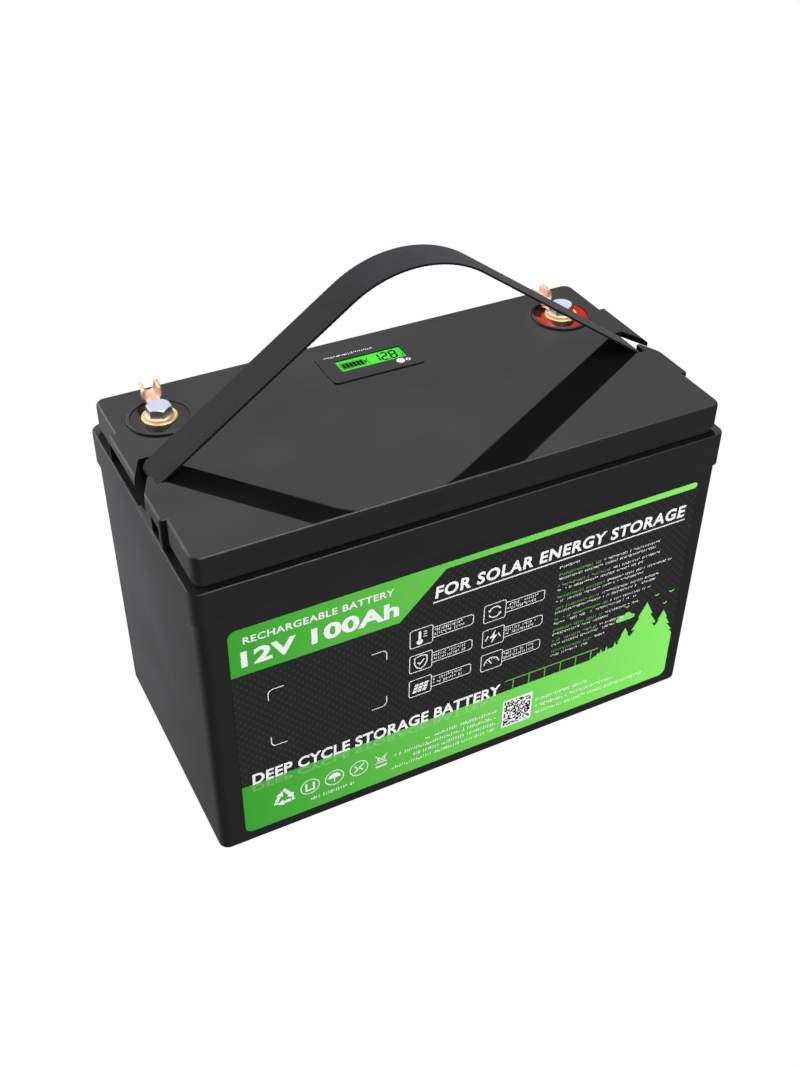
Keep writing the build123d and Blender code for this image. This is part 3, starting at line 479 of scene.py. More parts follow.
def painted_floor(name):
    """A matt white studio floor, lit from within so that it stays even, with the faint marks of rolled paint."""
    material, tree, place = blank_material(name)
    roller = add_node(tree, NOISE, {"Vector": place, "Scale": 1 / 12.0, "Detail": 3.0})
    close_material(
        tree,
        {
            "Base Color": add_node(
                tree, TINT, {"Color": linear("#f0f0f0"), "Value": add_node(tree, RANGE, [roller, 0.3, 0.7, 0.99, 1.0])}
            ),
            "Roughness": 0.9,
            "Specular IOR Level": 0.0,
            "Emission Color": (1.0, 1.0, 1.0, 1.0),
            "Emission Strength": 0.98,
        },
    )
    return material


def dress(material, *names):
    """Gives CAD nodes a material."""
    for name in names:
        slots = NODES[name].data.materials
        slots.clear()
        slots.append(material)


# ------------------------------------------------------------------------------------------- meshes
def add_piece(name, mesh, material, body=BATTERY):
    """A finished mesh becomes a piece that rides on a body."""
    if material is not None:
        mesh.materials.clear()
        mesh.materials.append(material)
    piece = bpy.data.objects.new(name, mesh)
    bpy.context.scene.collection.objects.link(piece)
    if body:
        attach(piece, body)
    return piece


def plain_mesh(holder):
    """The mesh of a curve, text or modified object. The object is removed."""
    if holder.name not in bpy.context.scene.collection.objects:
        bpy.context.scene.collection.objects.link(holder)
    bpy.context.view_layer.update()
    evaluated = holder.evaluated_get(bpy.context.evaluated_depsgraph_get())
    mesh = bpy.data.meshes.new_from_object(evaluated)
    bpy.data.objects.remove(holder)
    return mesh


def tidy_mesh(bm, merge=1e-7):
    """Merges doubles and points every face outwards."""
    bmesh.ops.remove_doubles(bm, verts=bm.verts, dist=merge)
    bmesh.ops.recalc_face_normals(bm, faces=bm.faces)


def mesh_from(bm, name, smooth=False):
    """Turns working geometry into a mesh."""
    mesh = bpy.data.meshes.new(name)
    for face in bm.faces:
        face.smooth = smooth
    bm.to_mesh(mesh)
    bm.free()
    return mesh


def arc(centre, radius, start, end, steps):
    """Points of an arc, with its angles in degrees."""
    angles = [math.radians(start + (end - start) * i / steps) for i in range(steps + 1)]
    return [(centre[0] + radius * math.cos(a), centre[1] + radius * math.sin(a)) for a in angles]


def rounded_box(left, bottom, right, top, radii=1.0):
    """A rectangle with rounded corners: one radius, or one each for bottom left, bottom right, top right, top left."""
    if not isinstance(radii, tuple):
        radii = (radii,) * 4
    corners = [(left, bottom, 1, 1, 180), (right, bottom, -1, 1, 270), (right, top, -1, -1, 0), (left, top, 1, -1, 90)]
    points = []
    for (x, z, dx, dz, start), r in zip(corners, radii):
        if r > 0:
            points += arc((x + dx * r, z + dz * r), r, start, start + 90, 6)
        else:
            points.append((x, z))
    return points


def ribbon(points, width, closed=False):
    """The outline of a drawn line of that width: one loop, or an outer and an inner loop if the line is closed."""
    count = len(points)
    sides = ([], [])
    for i, (x, z) in enumerate(points):
        before = points[i - 1] if i > 0 or closed else points[i]
        after = points[(i + 1) % count] if i < count - 1 or closed else points[i]
        into = Vector((x - before[0], z - before[1]))
        out = Vector((after[0] - x, after[1] - z))
        into = into.normalized() if into.length else out.normalized()
        out = out.normalized() if out.length else into
        middle = (into + out).normalized() if (into + out).length > 1e-6 else into
        across = Vector((-middle.y, middle.x))
        stretch = 1 / max(0.35, across.dot(Vector((-into.y, into.x))))
        for side, sign in zip(sides, (1, -1)):
            side.append((x + sign * across.x * stretch * width / 2, z + sign * across.y * stretch * width / 2))
    if closed:
        return [sides[0], sides[1]]
    return [sides[0] + sides[1][::-1]]


def add_shape(bm, loops, thickness):
    """Adds one flat closed shape in the XY plane. Its loops are in millimetres, and inner loops are holes."""
    curve = bpy.data.curves.new("outline", "CURVE")
    curve.dimensions = "2D"
    curve.fill_mode = "BOTH"
    curve.extrude = thickness / 2
    for loop in loops:
        spline = curve.splines.new("POLY")
        spline.points.add(len(loop) - 1)
        for point, (x, y) in zip(spline.points, loop):
            point.co = (x * MM, y * MM, 0, 1)
        spline.use_cyclic_u = True
    mesh = plain_mesh(bpy.data.objects.new("outline", curve))
    bm.from_mesh(mesh)
    bpy.data.meshes.remove(mesh)


def add_words(bm, words, box, thickness, bold=0.0, slant=0.0, spacing=1.0, upside_down=False):
    """Adds words that fill a box of left, bottom, right and top, in millimetres, in the XY plane."""
    text = bpy.data.curves.new("words", "FONT")
    text.body = words
    text.size = 1.0
    text.extrude = 0.1
    text.offset = bold
    text.shear = slant
    text.space_character = spacing
    text.resolution_u = 4
    mesh = plain_mesh(bpy.data.objects.new("words", text))
    xs = [v.co.x for v in mesh.vertices]
    ys = [v.co.y for v in mesh.vertices]
    left, bottom, right, top = (value * MM for value in box)
    if upside_down:
        bottom, top = top, bottom
    scale_x = (right - left) / (max(xs) - min(xs))
    scale_y = (top - bottom) / (max(ys) - min(ys))
    for vertex in mesh.vertices:
        vertex.co.x = left + (vertex.co.x - min(xs)) * scale_x
        vertex.co.y = bottom + (vertex.co.y - min(ys)) * scale_y
        vertex.co.z = math.copysign(thickness / 2, vertex.co.z)
    bm.from_mesh(mesh)
    bpy.data.meshes.remove(mesh)


# ------------------------------------------------------------------------------------------- geometry nodes
def new_tree(name, whole, real):
    """A geometry node group, and its inputs: a geometry, whole numbers and real numbers, by name, and a material."""
    tree = bpy.data.node_groups.new(name, "GeometryNodeTree")
    tree.interface.new_socket("Geometry", in_out="OUTPUT", socket_type="NodeSocketGeometry")
    labels = (("Geometry",), whole, real, ("Material",))
    for kind, group in zip(("Geometry", "Int", "Float", "Material"), labels):
        for label in group:
            tree.interface.new_socket(label, in_out="INPUT", socket_type=f"NodeSocket{kind}")
    return tree, tree.nodes.new("NodeGroupInput").outputs


def end_tree(tree, geometry, material):
    """Realizes instances, sets the material and links the group's output."""
    real = add_node(tree, "GeometryNodeRealizeInstances", {"Geometry": geometry}).outputs["Geometry"]
    dressed = add_node(tree, "GeometryNodeSetMaterial", {"Geometry": real, "Material": material})
    add_node(tree, "NodeGroupOutput", {"Geometry": dressed.outputs["Geometry"]})


def run_tree(tree, data, values):
    """The plain mesh that a tree makes from a mesh or curve with these input values."""
    holder = bpy.data.objects.new(tree.name, data)
    bpy.context.scene.collection.objects.link(holder)
    modifier = holder.modifiers.new(tree.name, "NODES")
    modifier.node_group = tree
    for item in tree.interface.items_tree:
        if item.item_type == "SOCKET" and item.in_out == "INPUT" and item.name in values:
            modifier[item.identifier] = values[item.name]
    return plain_mesh(holder)


def rows_tree(name, marks):
    """Rows of small flat marks on a grid: small print, tiles, rail posts and charge bars.

    marks(tree, given) returns the instances to choose from. Gaps leaves marks out at random, and Ragged ends each
    row at random before its full length.
    """
    whole = ("Columns", "Rows", "Seed")
    real = ("Pitch", "Row Pitch", "Mark Width", "Mark Height", "Thickness", "Gaps", "Ragged", "Height Spread", "Slant")
    tree, given = new_tree(name, whole, real)
    length = add_node(tree, MATH, [("SUBTRACT", given["Columns"], 1.0), given["Pitch"]], operation="MULTIPLY")
    height = add_node(tree, MATH, [("SUBTRACT", given["Rows"], 1.0), given["Row Pitch"]], operation="MULTIPLY")
    grid = add_node(
        tree,
        "GeometryNodeMeshGrid",
        {"Size X": length, "Size Y": height, "Vertices X": given["Columns"], "Vertices Y": given["Rows"]},
    )
    position = add_node(tree, "GeometryNodeInputPosition")
    place = add_node(tree, SPLIT, [position])
    row = add_node(tree, MATH, [("DIVIDE", place.outputs["Y"], given["Row Pitch"])], operation="ROUND")
    row_number = add_node(tree, "FunctionNodeFloatToInt", [("MULTIPLY", row, 7.0)])
    row_inputs = {"ID": row_number, "Seed": given["Seed"]}
    row_end = add_node(tree, RANDOM, row_inputs, data_type="FLOAT").outputs[1]
    from_left = add_node(tree, MATH, [length, 0.5, place.outputs["X"]], operation="MULTIPLY_ADD")
    share = add_node(tree, MATH, [from_left, length], operation="DIVIDE")
    limit = add_node(tree, MATH, [1.0001, ("MULTIPLY", row_end, given["Ragged"])], operation="SUBTRACT")
    past_end = add_node(tree, MATH, [share, limit], operation="GREATER_THAN")
    chance = add_node(tree, RANDOM, {"Seed": given["Seed"]}, data_type="FLOAT").outputs[1]
    dropped = add_node(tree, MATH, [chance, given["Gaps"]], operation="LESS_THAN")
    kept = add_node(tree, MATH, [("ADD", past_end, dropped), 0.5], operation="LESS_THAN")
    other = add_node(tree, "FunctionNodeFloatToInt", [("ADD", given["Seed"], 40.0)])
    stretch = add_node(tree, RANDOM, {"Seed": other}, data_type="FLOAT").outputs[1]
    tall = add_node(tree, MATH, [1.0, ("MULTIPLY", stretch, given["Height Spread"])], operation="ADD")
    scale = add_node(tree, JOIN, {"X": given["Mark Width"], "Y": ("MULTIPLY", tall, given["Mark Height"]), "Z": 1.0})
    choice = add_node(tree, RANDOM, {4: 0, 5: 4, "Seed": given["Seed"]}, data_type="INT")
    turn = add_node(tree, JOIN, {"Z": ("MULTIPLY", given["Slant"], -1.0)})
    placed = add_node(
        tree,
        "GeometryNodeInstanceOnPoints",
        {
            "Points": grid,
            "Selection": kept,
            "Instance": marks(tree, given),
            "Pick Instance": True,
            "Instance Index": choice.outputs[2],
            "Rotation": turn,
            "Scale": scale,
        },
    )
    end_tree(tree, placed, given["Material"])
    return tree


def flat_block(tree, given, width=1.0, height=1.0):
    """A flat block, a share of the mark's width and height."""
    size = add_node(tree, JOIN, {"X": width, "Y": height, "Z": given["Thickness"]})
    return add_node(tree, "GeometryNodeMeshCube", {"Size": size})


def block_marks(tree, given):
    """One plain block."""
    return add_node(tree, TO_INSTANCE, [flat_block(tree, given)])


def greek_marks(tree, given):
    """Five shapes that look like small letters from afar and spell nothing: a ring, two arcs, a bar and a cross."""
    stroke = add_node(tree, QUAD, {"Width": 0.3, "Height": given["Thickness"]})
    shapes = []
    for start, sweep in ((0.0, 2 * math.pi), (0.9, 4.4), (0.0, math.pi)):
        line = add_node(
            tree, "GeometryNodeCurveArc", {"Resolution": 9, "Radius": 0.4, "Start Angle": start, "Sweep Angle": sweep}
        )
        shapes.append(
            add_node(tree, "GeometryNodeCurveToMesh", {"Curve": line, "Profile Curve": stroke, "Fill Caps": True})
        )
    shapes.append(flat_block(tree, given, 0.3, 1.1))
    strokes = [flat_block(tree, given, 0.8, 0.25), flat_block(tree, given, 0.3, 1.0)]
    shapes.append(add_node(tree, GATHER, [strokes]))
    return add_node(tree, GATHER, [[add_node(tree, TO_INSTANCE, [shape]) for shape in shapes]])


def webbing_tree():
    """Woven webbing along a curve: a flat rounded section with the slanted ribs of a twill.

    It stores the UV map in millimetres, across and along the strap.
    """
    tree, given = new_tree("twill_webbing", (), ("Width", "Thickness", "Rib Pitch", "Rib Depth", "Lean", "Step"))
    path = add_node(
        tree, "GeometryNodeResampleCurve", {"Curve": given["Geometry"], "Length": given["Step"]}, mode="LENGTH"
    )
    travelled = add_node(tree, "GeometryNodeSplineParameter").outputs["Length"]
    path_capture = add_node(tree, "GeometryNodeCaptureAttribute", {"Geometry": path}, domain="POINT")
    path_capture.capture_items.new("FLOAT", "Along")
    tree.links.new(travelled, path_capture.inputs["Along"])
    section = add_node(tree, QUAD, {"Width": given["Width"], "Height": given["Thickness"]})
    corner = add_node(tree, MATH, [given["Thickness"], 0.45], operation="MULTIPLY")
    rounded = add_node(tree, "GeometryNodeFilletCurve", {"Curve": section, "Count": 4, "Radius": corner}, mode="POLY")
    fine = add_node(tree, "GeometryNodeResampleCurve", {"Curve": rounded, "Length": given["Step"]}, mode="LENGTH")
    position = add_node(tree, "GeometryNodeInputPosition")
    section_capture = add_node(tree, "GeometryNodeCaptureAttribute", {"Geometry": fine}, domain="POINT")
    section_capture.capture_items.new("VECTOR", "Across")
    tree.links.new(position.outputs[0], section_capture.inputs["Across"])
    strap = add_node(
        tree,
        "GeometryNodeCurveToMesh",
        {
            "Curve": path_capture.outputs["Geometry"],
            "Profile Curve": section_capture.outputs["Geometry"],
            "Fill Caps": True,
        },
    )
    across = add_node(tree, SPLIT, [section_capture.outputs["Across"]]).outputs["X"]
    along = path_capture.outputs["Along"]
    shifted = add_node(tree, MATH, [along, ("MULTIPLY", across, given["Lean"])], operation="SUBTRACT")
    phase = add_node(tree, MATH, [shifted, given["Rib Pitch"]], operation="DIVIDE")
    fall = add_node(tree, MATH, [wave(tree, phase, 1.0), 1.0], operation="SUBTRACT")
    depth = add_node(tree, MATH, [("MULTIPLY", fall, given["Rib Depth"]), 0.5], operation="MULTIPLY")
    normal = add_node(tree, "GeometryNodeInputNormal")
    offset = add_node(tree, "ShaderNodeVectorMath", {"Vector": normal, "Scale": depth}, operation="SCALE")
    ribbed = add_node(tree, "GeometryNodeSetPosition", {"Geometry": strap, "Offset": offset})
    uv = add_node(tree, JOIN, {"X": ("DIVIDE", across, MM), "Y": ("DIVIDE", along, MM)})
    stored = {"Geometry": ribbed, "Name": "UVMap", "Value": uv}
    mapped = add_node(tree, "GeometryNodeStoreNamedAttribute", stored, data_type="FLOAT2", domain="CORNER")
    end_tree(tree, mapped, given["Material"])
    return tree


def blocks(tree, columns, rows, material, **values):
    """A mesh of rows of blocks, centred on the origin in the XY plane. Sizes are in metres."""
    given = {"Columns": columns, "Rows": rows, "Seed": 1, "Material": material}
    given.update({name.replace("_", " ").title(): value for name, value in values.items()})
    return run_tree(tree, bpy.data.meshes.new("seed"), given)


# ------------------------------------------------------------------------------------------- stage
# The key comes from behind and to the right, above the lid, and throws the strap's shadow forwards.
KEY_PLACE, KEY_AIM = (0.53, 1.09, 1.217), (0, 0, 0.217)
KEY_ANGLE = 0.6
METALS = ("negative_post", "positive_post", "terminal_bolts")
# Each panel's name, power setting and share of it, place, aim, width and height, and what it lights if not everything.
# The front panel is low, so that it misses the lid, and the end panel is level with the case. Neither shows as a gloss.
# The edge panels show only as a gloss along rounded edges, and the metal panels give the terminals something to mirror.
PANELS = (
    ("front_panel", "front", 1.0, (0.35, -1.5, 0.16), (0, 0, 0.12), (1.2, 0.25), ()),
    ("end_panel", "end", 1.0, (-0.55, 0.3, 0.15), (-0.163, 0.03, 0.12), (0.3, 0.3), ("case", "lid")),
    ("edge_panel", "edge", 1.0, (0.25, -0.45, 1.5), (0, 0, 0.2), (0.9, 0.5), ()),
    ("side_edge_panel", "edge", 0.5, (-0.75, 1.35, 1.0), (-0.1, 0, 0.22), (0.9, 0.5), ()),
    ("metal_panel_over", "metal", 1.0, (-0.3, -0.3, 1.5), (0, 0, 0.22), (1.8, 1.8), METALS),
    ("metal_panel_behind", "metal", 1.0, (0.75, 1.5, 1.2), (0, 0, 0.22), (1.8, 1.6), METALS),
    ("metal_panel_beside", "metal", 1.0, (-1.1, 0.35, 0.75), (0, 0, 0.22), (1.6, 1.3), METALS),
)
# The camera's place in millimetres, its azimuth, elevation and roll in degrees, and its lens in millimetres.
CAMERA_PLACE = (-296.39, -565.11, 622.94)
CAMERA_ANGLES = (-27.318, 38.185, 0.522)
CAMERA_LENS = 44.22
# The floor's flat radius, the radius of its sweep into the wall, and the wall's height, in metres.
FLOOR_REACH, FLOOR_SWEEP, WALL_HEIGHT = 2.4, 0.8, 3.2
FLOOR_SIDES, SWEEP_STEPS = 96, 12


class BATTERY_OT_stage(bpy.types.Operator):
    """Makes the floor, the lights and the camera"""

    bl_idname = "battery.stage"
    bl_label = "Stage"

    def execute(self, context):
        settings = context.scene.battery_stage
        scene = context.scene
        scene.view_settings.view_transform = "Standard"
        floor = add_piece("floor", self.backdrop(), painted_floor("rolled matt floor paint"), body=None)
        floor.visible_diffuse = False
        floor.visible_glossy = False
        floor.visible_shadow = False
        self.unlit = bpy.data.collections.new("beyond the lamps")
        self.unlit.objects.link(floor)
        self.unlit.collection_objects[0].light_linking.link_state = "EXCLUDE"

        world = bpy.data.worlds.new("studio")
        scene.world = world
        world.use_nodes = True
        world.node_tree.nodes.clear()
        sky = add_node(world.node_tree, "ShaderNodeBackground", [(1.0, 1.0, 1.0, 1.0), settings.sky])
        add_node(world.node_tree, "ShaderNodeOutputWorld", {"Surface": sky})
        key = self.lamp("key", "SUN", settings.key, KEY_PLACE, KEY_AIM)
        key.data.angle = math.radians(KEY_ANGLE)
        key.visible_glossy = False
        for name, power, share, place, aim, size, lights in PANELS:
            panel = self.lamp(name, "AREA", getattr(settings, power) * share, place, aim)
            panel.data.size, panel.data.size_y = size
            panel.visible_glossy = power not in ("front", "end")
            panel.visible_diffuse = power != "edge"
            if lights:
                self.flag(panel, *lights)
        self.camera()
        return {"FINISHED"}

    def lamp(self, name, kind, strength, place, aim):
        """A lamp that lights everything but the floor, at a place and aimed at a point."""
        data = bpy.data.lights.new(name, kind)
        data.energy = strength
        if kind == "AREA":
            data.shape = "RECTANGLE"
        lamp = bpy.data.objects.new(name, data)
        lamp.location = place
        lamp.rotation_euler = (Vector(aim) - Vector(place)).to_track_quat("-Z", "Y").to_euler()
        lamp.light_linking.receiver_collection = self.unlit
        bpy.context.scene.collection.objects.link(lamp)
        return lamp

    def flag(self, lamp, *names):
        """Keeps a lamp's light to those nodes alone."""
        lit = bpy.data.collections.new(lamp.name)
        for name in names:
            lit.objects.link(NODES[name])
        lamp.light_linking.receiver_collection = lit

    def backdrop(self):
        """A round floor that sweeps up into a wall on every side."""
        bends = [math.pi / 2 * i / SWEEP_STEPS for i in range(1, SWEEP_STEPS + 1)]
        profile = [(0.001, 0.0), (FLOOR_REACH, 0.0)]
        profile += [(FLOOR_REACH + FLOOR_SWEEP * math.sin(a), FLOOR_SWEEP * (1 - math.cos(a))) for a in bends]
        profile.append((FLOOR_REACH + FLOOR_SWEEP, WALL_HEIGHT))
        turns = [2 * math.pi * i / FLOOR_SIDES for i in range(FLOOR_SIDES)]
        bm = bmesh.new()
        rings = [[bm.verts.new((r * math.cos(t), r * math.sin(t), z)) for t in turns] for r, z in profile]
        bm.faces.new(rings[0])
        for inner, outer in zip(rings, rings[1:]):
            for i in range(FLOOR_SIDES):
                bm.faces.new((inner[i - 1], inner[i], outer[i], outer[i - 1]))
        return mesh_from(bm, "floor", smooth=True)

    def camera(self):
        """The camera, in front of the left corner and looking down."""
        camera_data = bpy.data.cameras.new("camera")
        camera_data.sensor_width = 36.0
        camera_data.lens = CAMERA_LENS
        camera_data.clip_end = 50.0
        camera = bpy.data.objects.new("camera", camera_data)
        azimuth, elevation, roll = (math.radians(angle) for angle in CAMERA_ANGLES)
        level = math.cos(elevation)
        back = Vector((math.sin(azimuth) * level, -math.cos(azimuth) * level, math.sin(elevation)))
        right = Vector((0, 0, 1)).cross(back).normalized()
        up = back.cross(right)
        rolled = Matrix.Rotation(roll, 3, back)
        turn = Matrix((rolled @ right, rolled @ up, back)).transposed()
        camera.matrix_world = Matrix.Translation(Vector(CAMERA_PLACE) * MM) @ turn.to_4x4()
        bpy.context.scene.collection.objects.link(camera)
        bpy.context.scene.camera = camera


# ------------------------------------------------------------------------------------------- shell
class BATTERY_OT_shell(bpy.types.Operator):
    """Gives the case, the lid and its seal their moulded finish"""

    bl_idname = "battery.shell"
    bl_label = "Case and Lid"

    def execute(self, context):
        settings = context.scene.battery_shell
        grain = settings.grain / MM
        dress(moulded_abs("moulded ABS, case", settings.colour, grain), "case")
        dress(moulded_abs("moulded ABS, lid", settings.colour, grain), "lid")
        dress(silicone_jacket("cured sealant", "#1c1c1c"), "lid_seal")
        return {"FINISHED"}


# ------------------------------------------------------------------------------------------- label
FILM = 0.25 * MM  # thickness
INK = 0.05 * MM
# How far each print's middle stands above the film. Prints that overlap have their own.
GREEN_LIFT = 0.0
ECHO_LIFT = 0.012 * MM
DETAIL_LIFT = 0.015 * MM
TREE_LIFTS = (0.018 * MM, 0.021 * MM, 0.024 * MM)
WHITE_LIFT = 0.03 * MM
TITLE_LIFT = 0.05 * MM
TILE_LIFT = 0.06 * MM


def label_place(lift=0.0):
    """The matrix that puts a flat drawing of the front wall, seen from outside, on the label film's face."""
    low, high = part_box("front_label")
    lean = (abs(low[1]) - abs(high[1]) - FILM) / (high[2] - low[2])
    angle = math.atan(lean)
    across = Vector((1, 0, 0))
    upward = Vector((0, -math.sin(angle), math.cos(angle)))
    outward = Vector((0, -math.cos(angle), -math.sin(angle)))
    turn = Matrix((across, upward, outward)).transposed().to_4x4()
    foot = Vector((0, low[1] + high[2] * lean, 0)) + outward * lift
    return Matrix.Translation(foot) @ turn


def icon_thermometer(x, z):
    """A thermometer with two marks."""
    bulb = arc((x - 1, z - 3.4), 2.0, 0, 360, 20)[:-1]
    stem = rounded_box(x - 1.8, z - 3, x - 0.2, z + 4.8, 0.8)
    marks = [rounded_box(x + 1.4, z + h, x + 3.6, z + h + 0.6, 0.0) for h in (-0.4, 1.4, 3.2)]
    return [[bulb], [stem], *([mark] for mark in marks)]


def icon_shield(x, z):
    """A shield with a tick."""
    edge = [(x - 4, z + 4.2), (x, z + 5.4), (x + 4, z + 4.2), (x + 4, z - 0.6), (x + 2.4, z - 3.6), (x, z - 5.2)]
    edge += [(x - 2.4, z - 3.6), (x - 4, z - 0.6)]
    tick = [(x - 2.0, z + 0.4), (x - 0.5, z - 1.4), (x + 2.2, z + 2.2)]
    return [ribbon(edge, 0.7, True), ribbon(tick, 0.8)]


def icon_panel(x, z):
    """A slanted solar panel of six cells."""
    cells = []
    for row in range(3):
        for column in range(3):
            left = x - 5.2 + column * 3.2 + row * 0.7
            low = z - 4.0 + row * 2.4
            cells.append([[(left, low), (left + 2.6, low), (left + 3.2, low + 1.8), (left + 0.6, low + 1.8)]])
    return cells


def icon_cycle(x, z):
    """Two arrows that chase each other round a circle."""
    shapes = []
    for start in (20, 200):
        shapes.append(ribbon(arc((x, z), 4.0, start, start + 130, 12), 0.8))
        tip = math.radians(start + 150)
        head = math.radians(start + 128)
        shapes.append([[
            (x + 4.0 * math.cos(tip), z + 4.0 * math.sin(tip)),
            (x + 5.3 * math.cos(head), z + 5.3 * math.sin(head)),
            (x + 2.7 * math.cos(head), z + 2.7 * math.sin(head)),
        ]])
    return shapes


def icon_bolt(x, z):
    """A lightning bolt between two lines."""
    bolt = [
        (x + 1.4, z + 5),
        (x - 2.4, z - 0.6),
        (x - 0.2, z - 0.6),
        (x - 1.2, z - 5),
        (x + 2.8, z + 1.0),
        (x + 0.6, z + 1.0),
    ]
    lines = [ribbon([(x + side * 5.2, z - 1.8), (x + side * 3.4, z + 1.8)], 0.7) for side in (-1, 1)]
    return [[bolt], *lines]


def icon_gauge(x, z):
    """A round gauge with ticks and a needle."""
    shapes = [ribbon(arc((x, z - 2.2), 5.0, 0, 180, 20), 0.7)]
    for angle in (30, 60, 90, 120, 150):
        turn = math.radians(angle)
        inner, outer = 3.4, 4.4
        ends = [(x + r * math.cos(turn), z - 2.2 + r * math.sin(turn)) for r in (inner, outer)]
        shapes.append(ribbon(ends, 0.5))
    shapes.append(ribbon([(x, z - 2.2), (x - 1.8, z + 1.0)], 0.9))
    return shapes


def icon_recycle(x, z, size):
    """Three arrows that chase each other round a triangle."""
    shapes = []
    corners = [Vector((x + size * math.cos(a), z + size * math.sin(a))) for a in map(math.radians, (90, -30, 210))]
    for start, end in zip(corners, corners[1:] + corners[:1]):
        run = end - start
        side = Vector((-run.y, run.x)).normalized()
        shapes.append(ribbon([start + run * 0.2, start + run * 0.56], size * 0.31))
        head = (start + run * 0.9, start + run * 0.54 + side * size * 0.31, start + run * 0.54 - side * size * 0.31)
        shapes.append([[tuple(point) for point in head]])
        shapes.append(ribbon([start + run * 0.03 - side * size * 0.1, start + run * 0.16], size * 0.31))
    return shapes


# A fir's outline: the share of its half width reached at each share of its height from the tip down.
FIR_TIERS = ((0.42, 0.34), (0.3, 0.34), (0.72, 0.62), (0.5, 0.62), (1.0, 0.9))


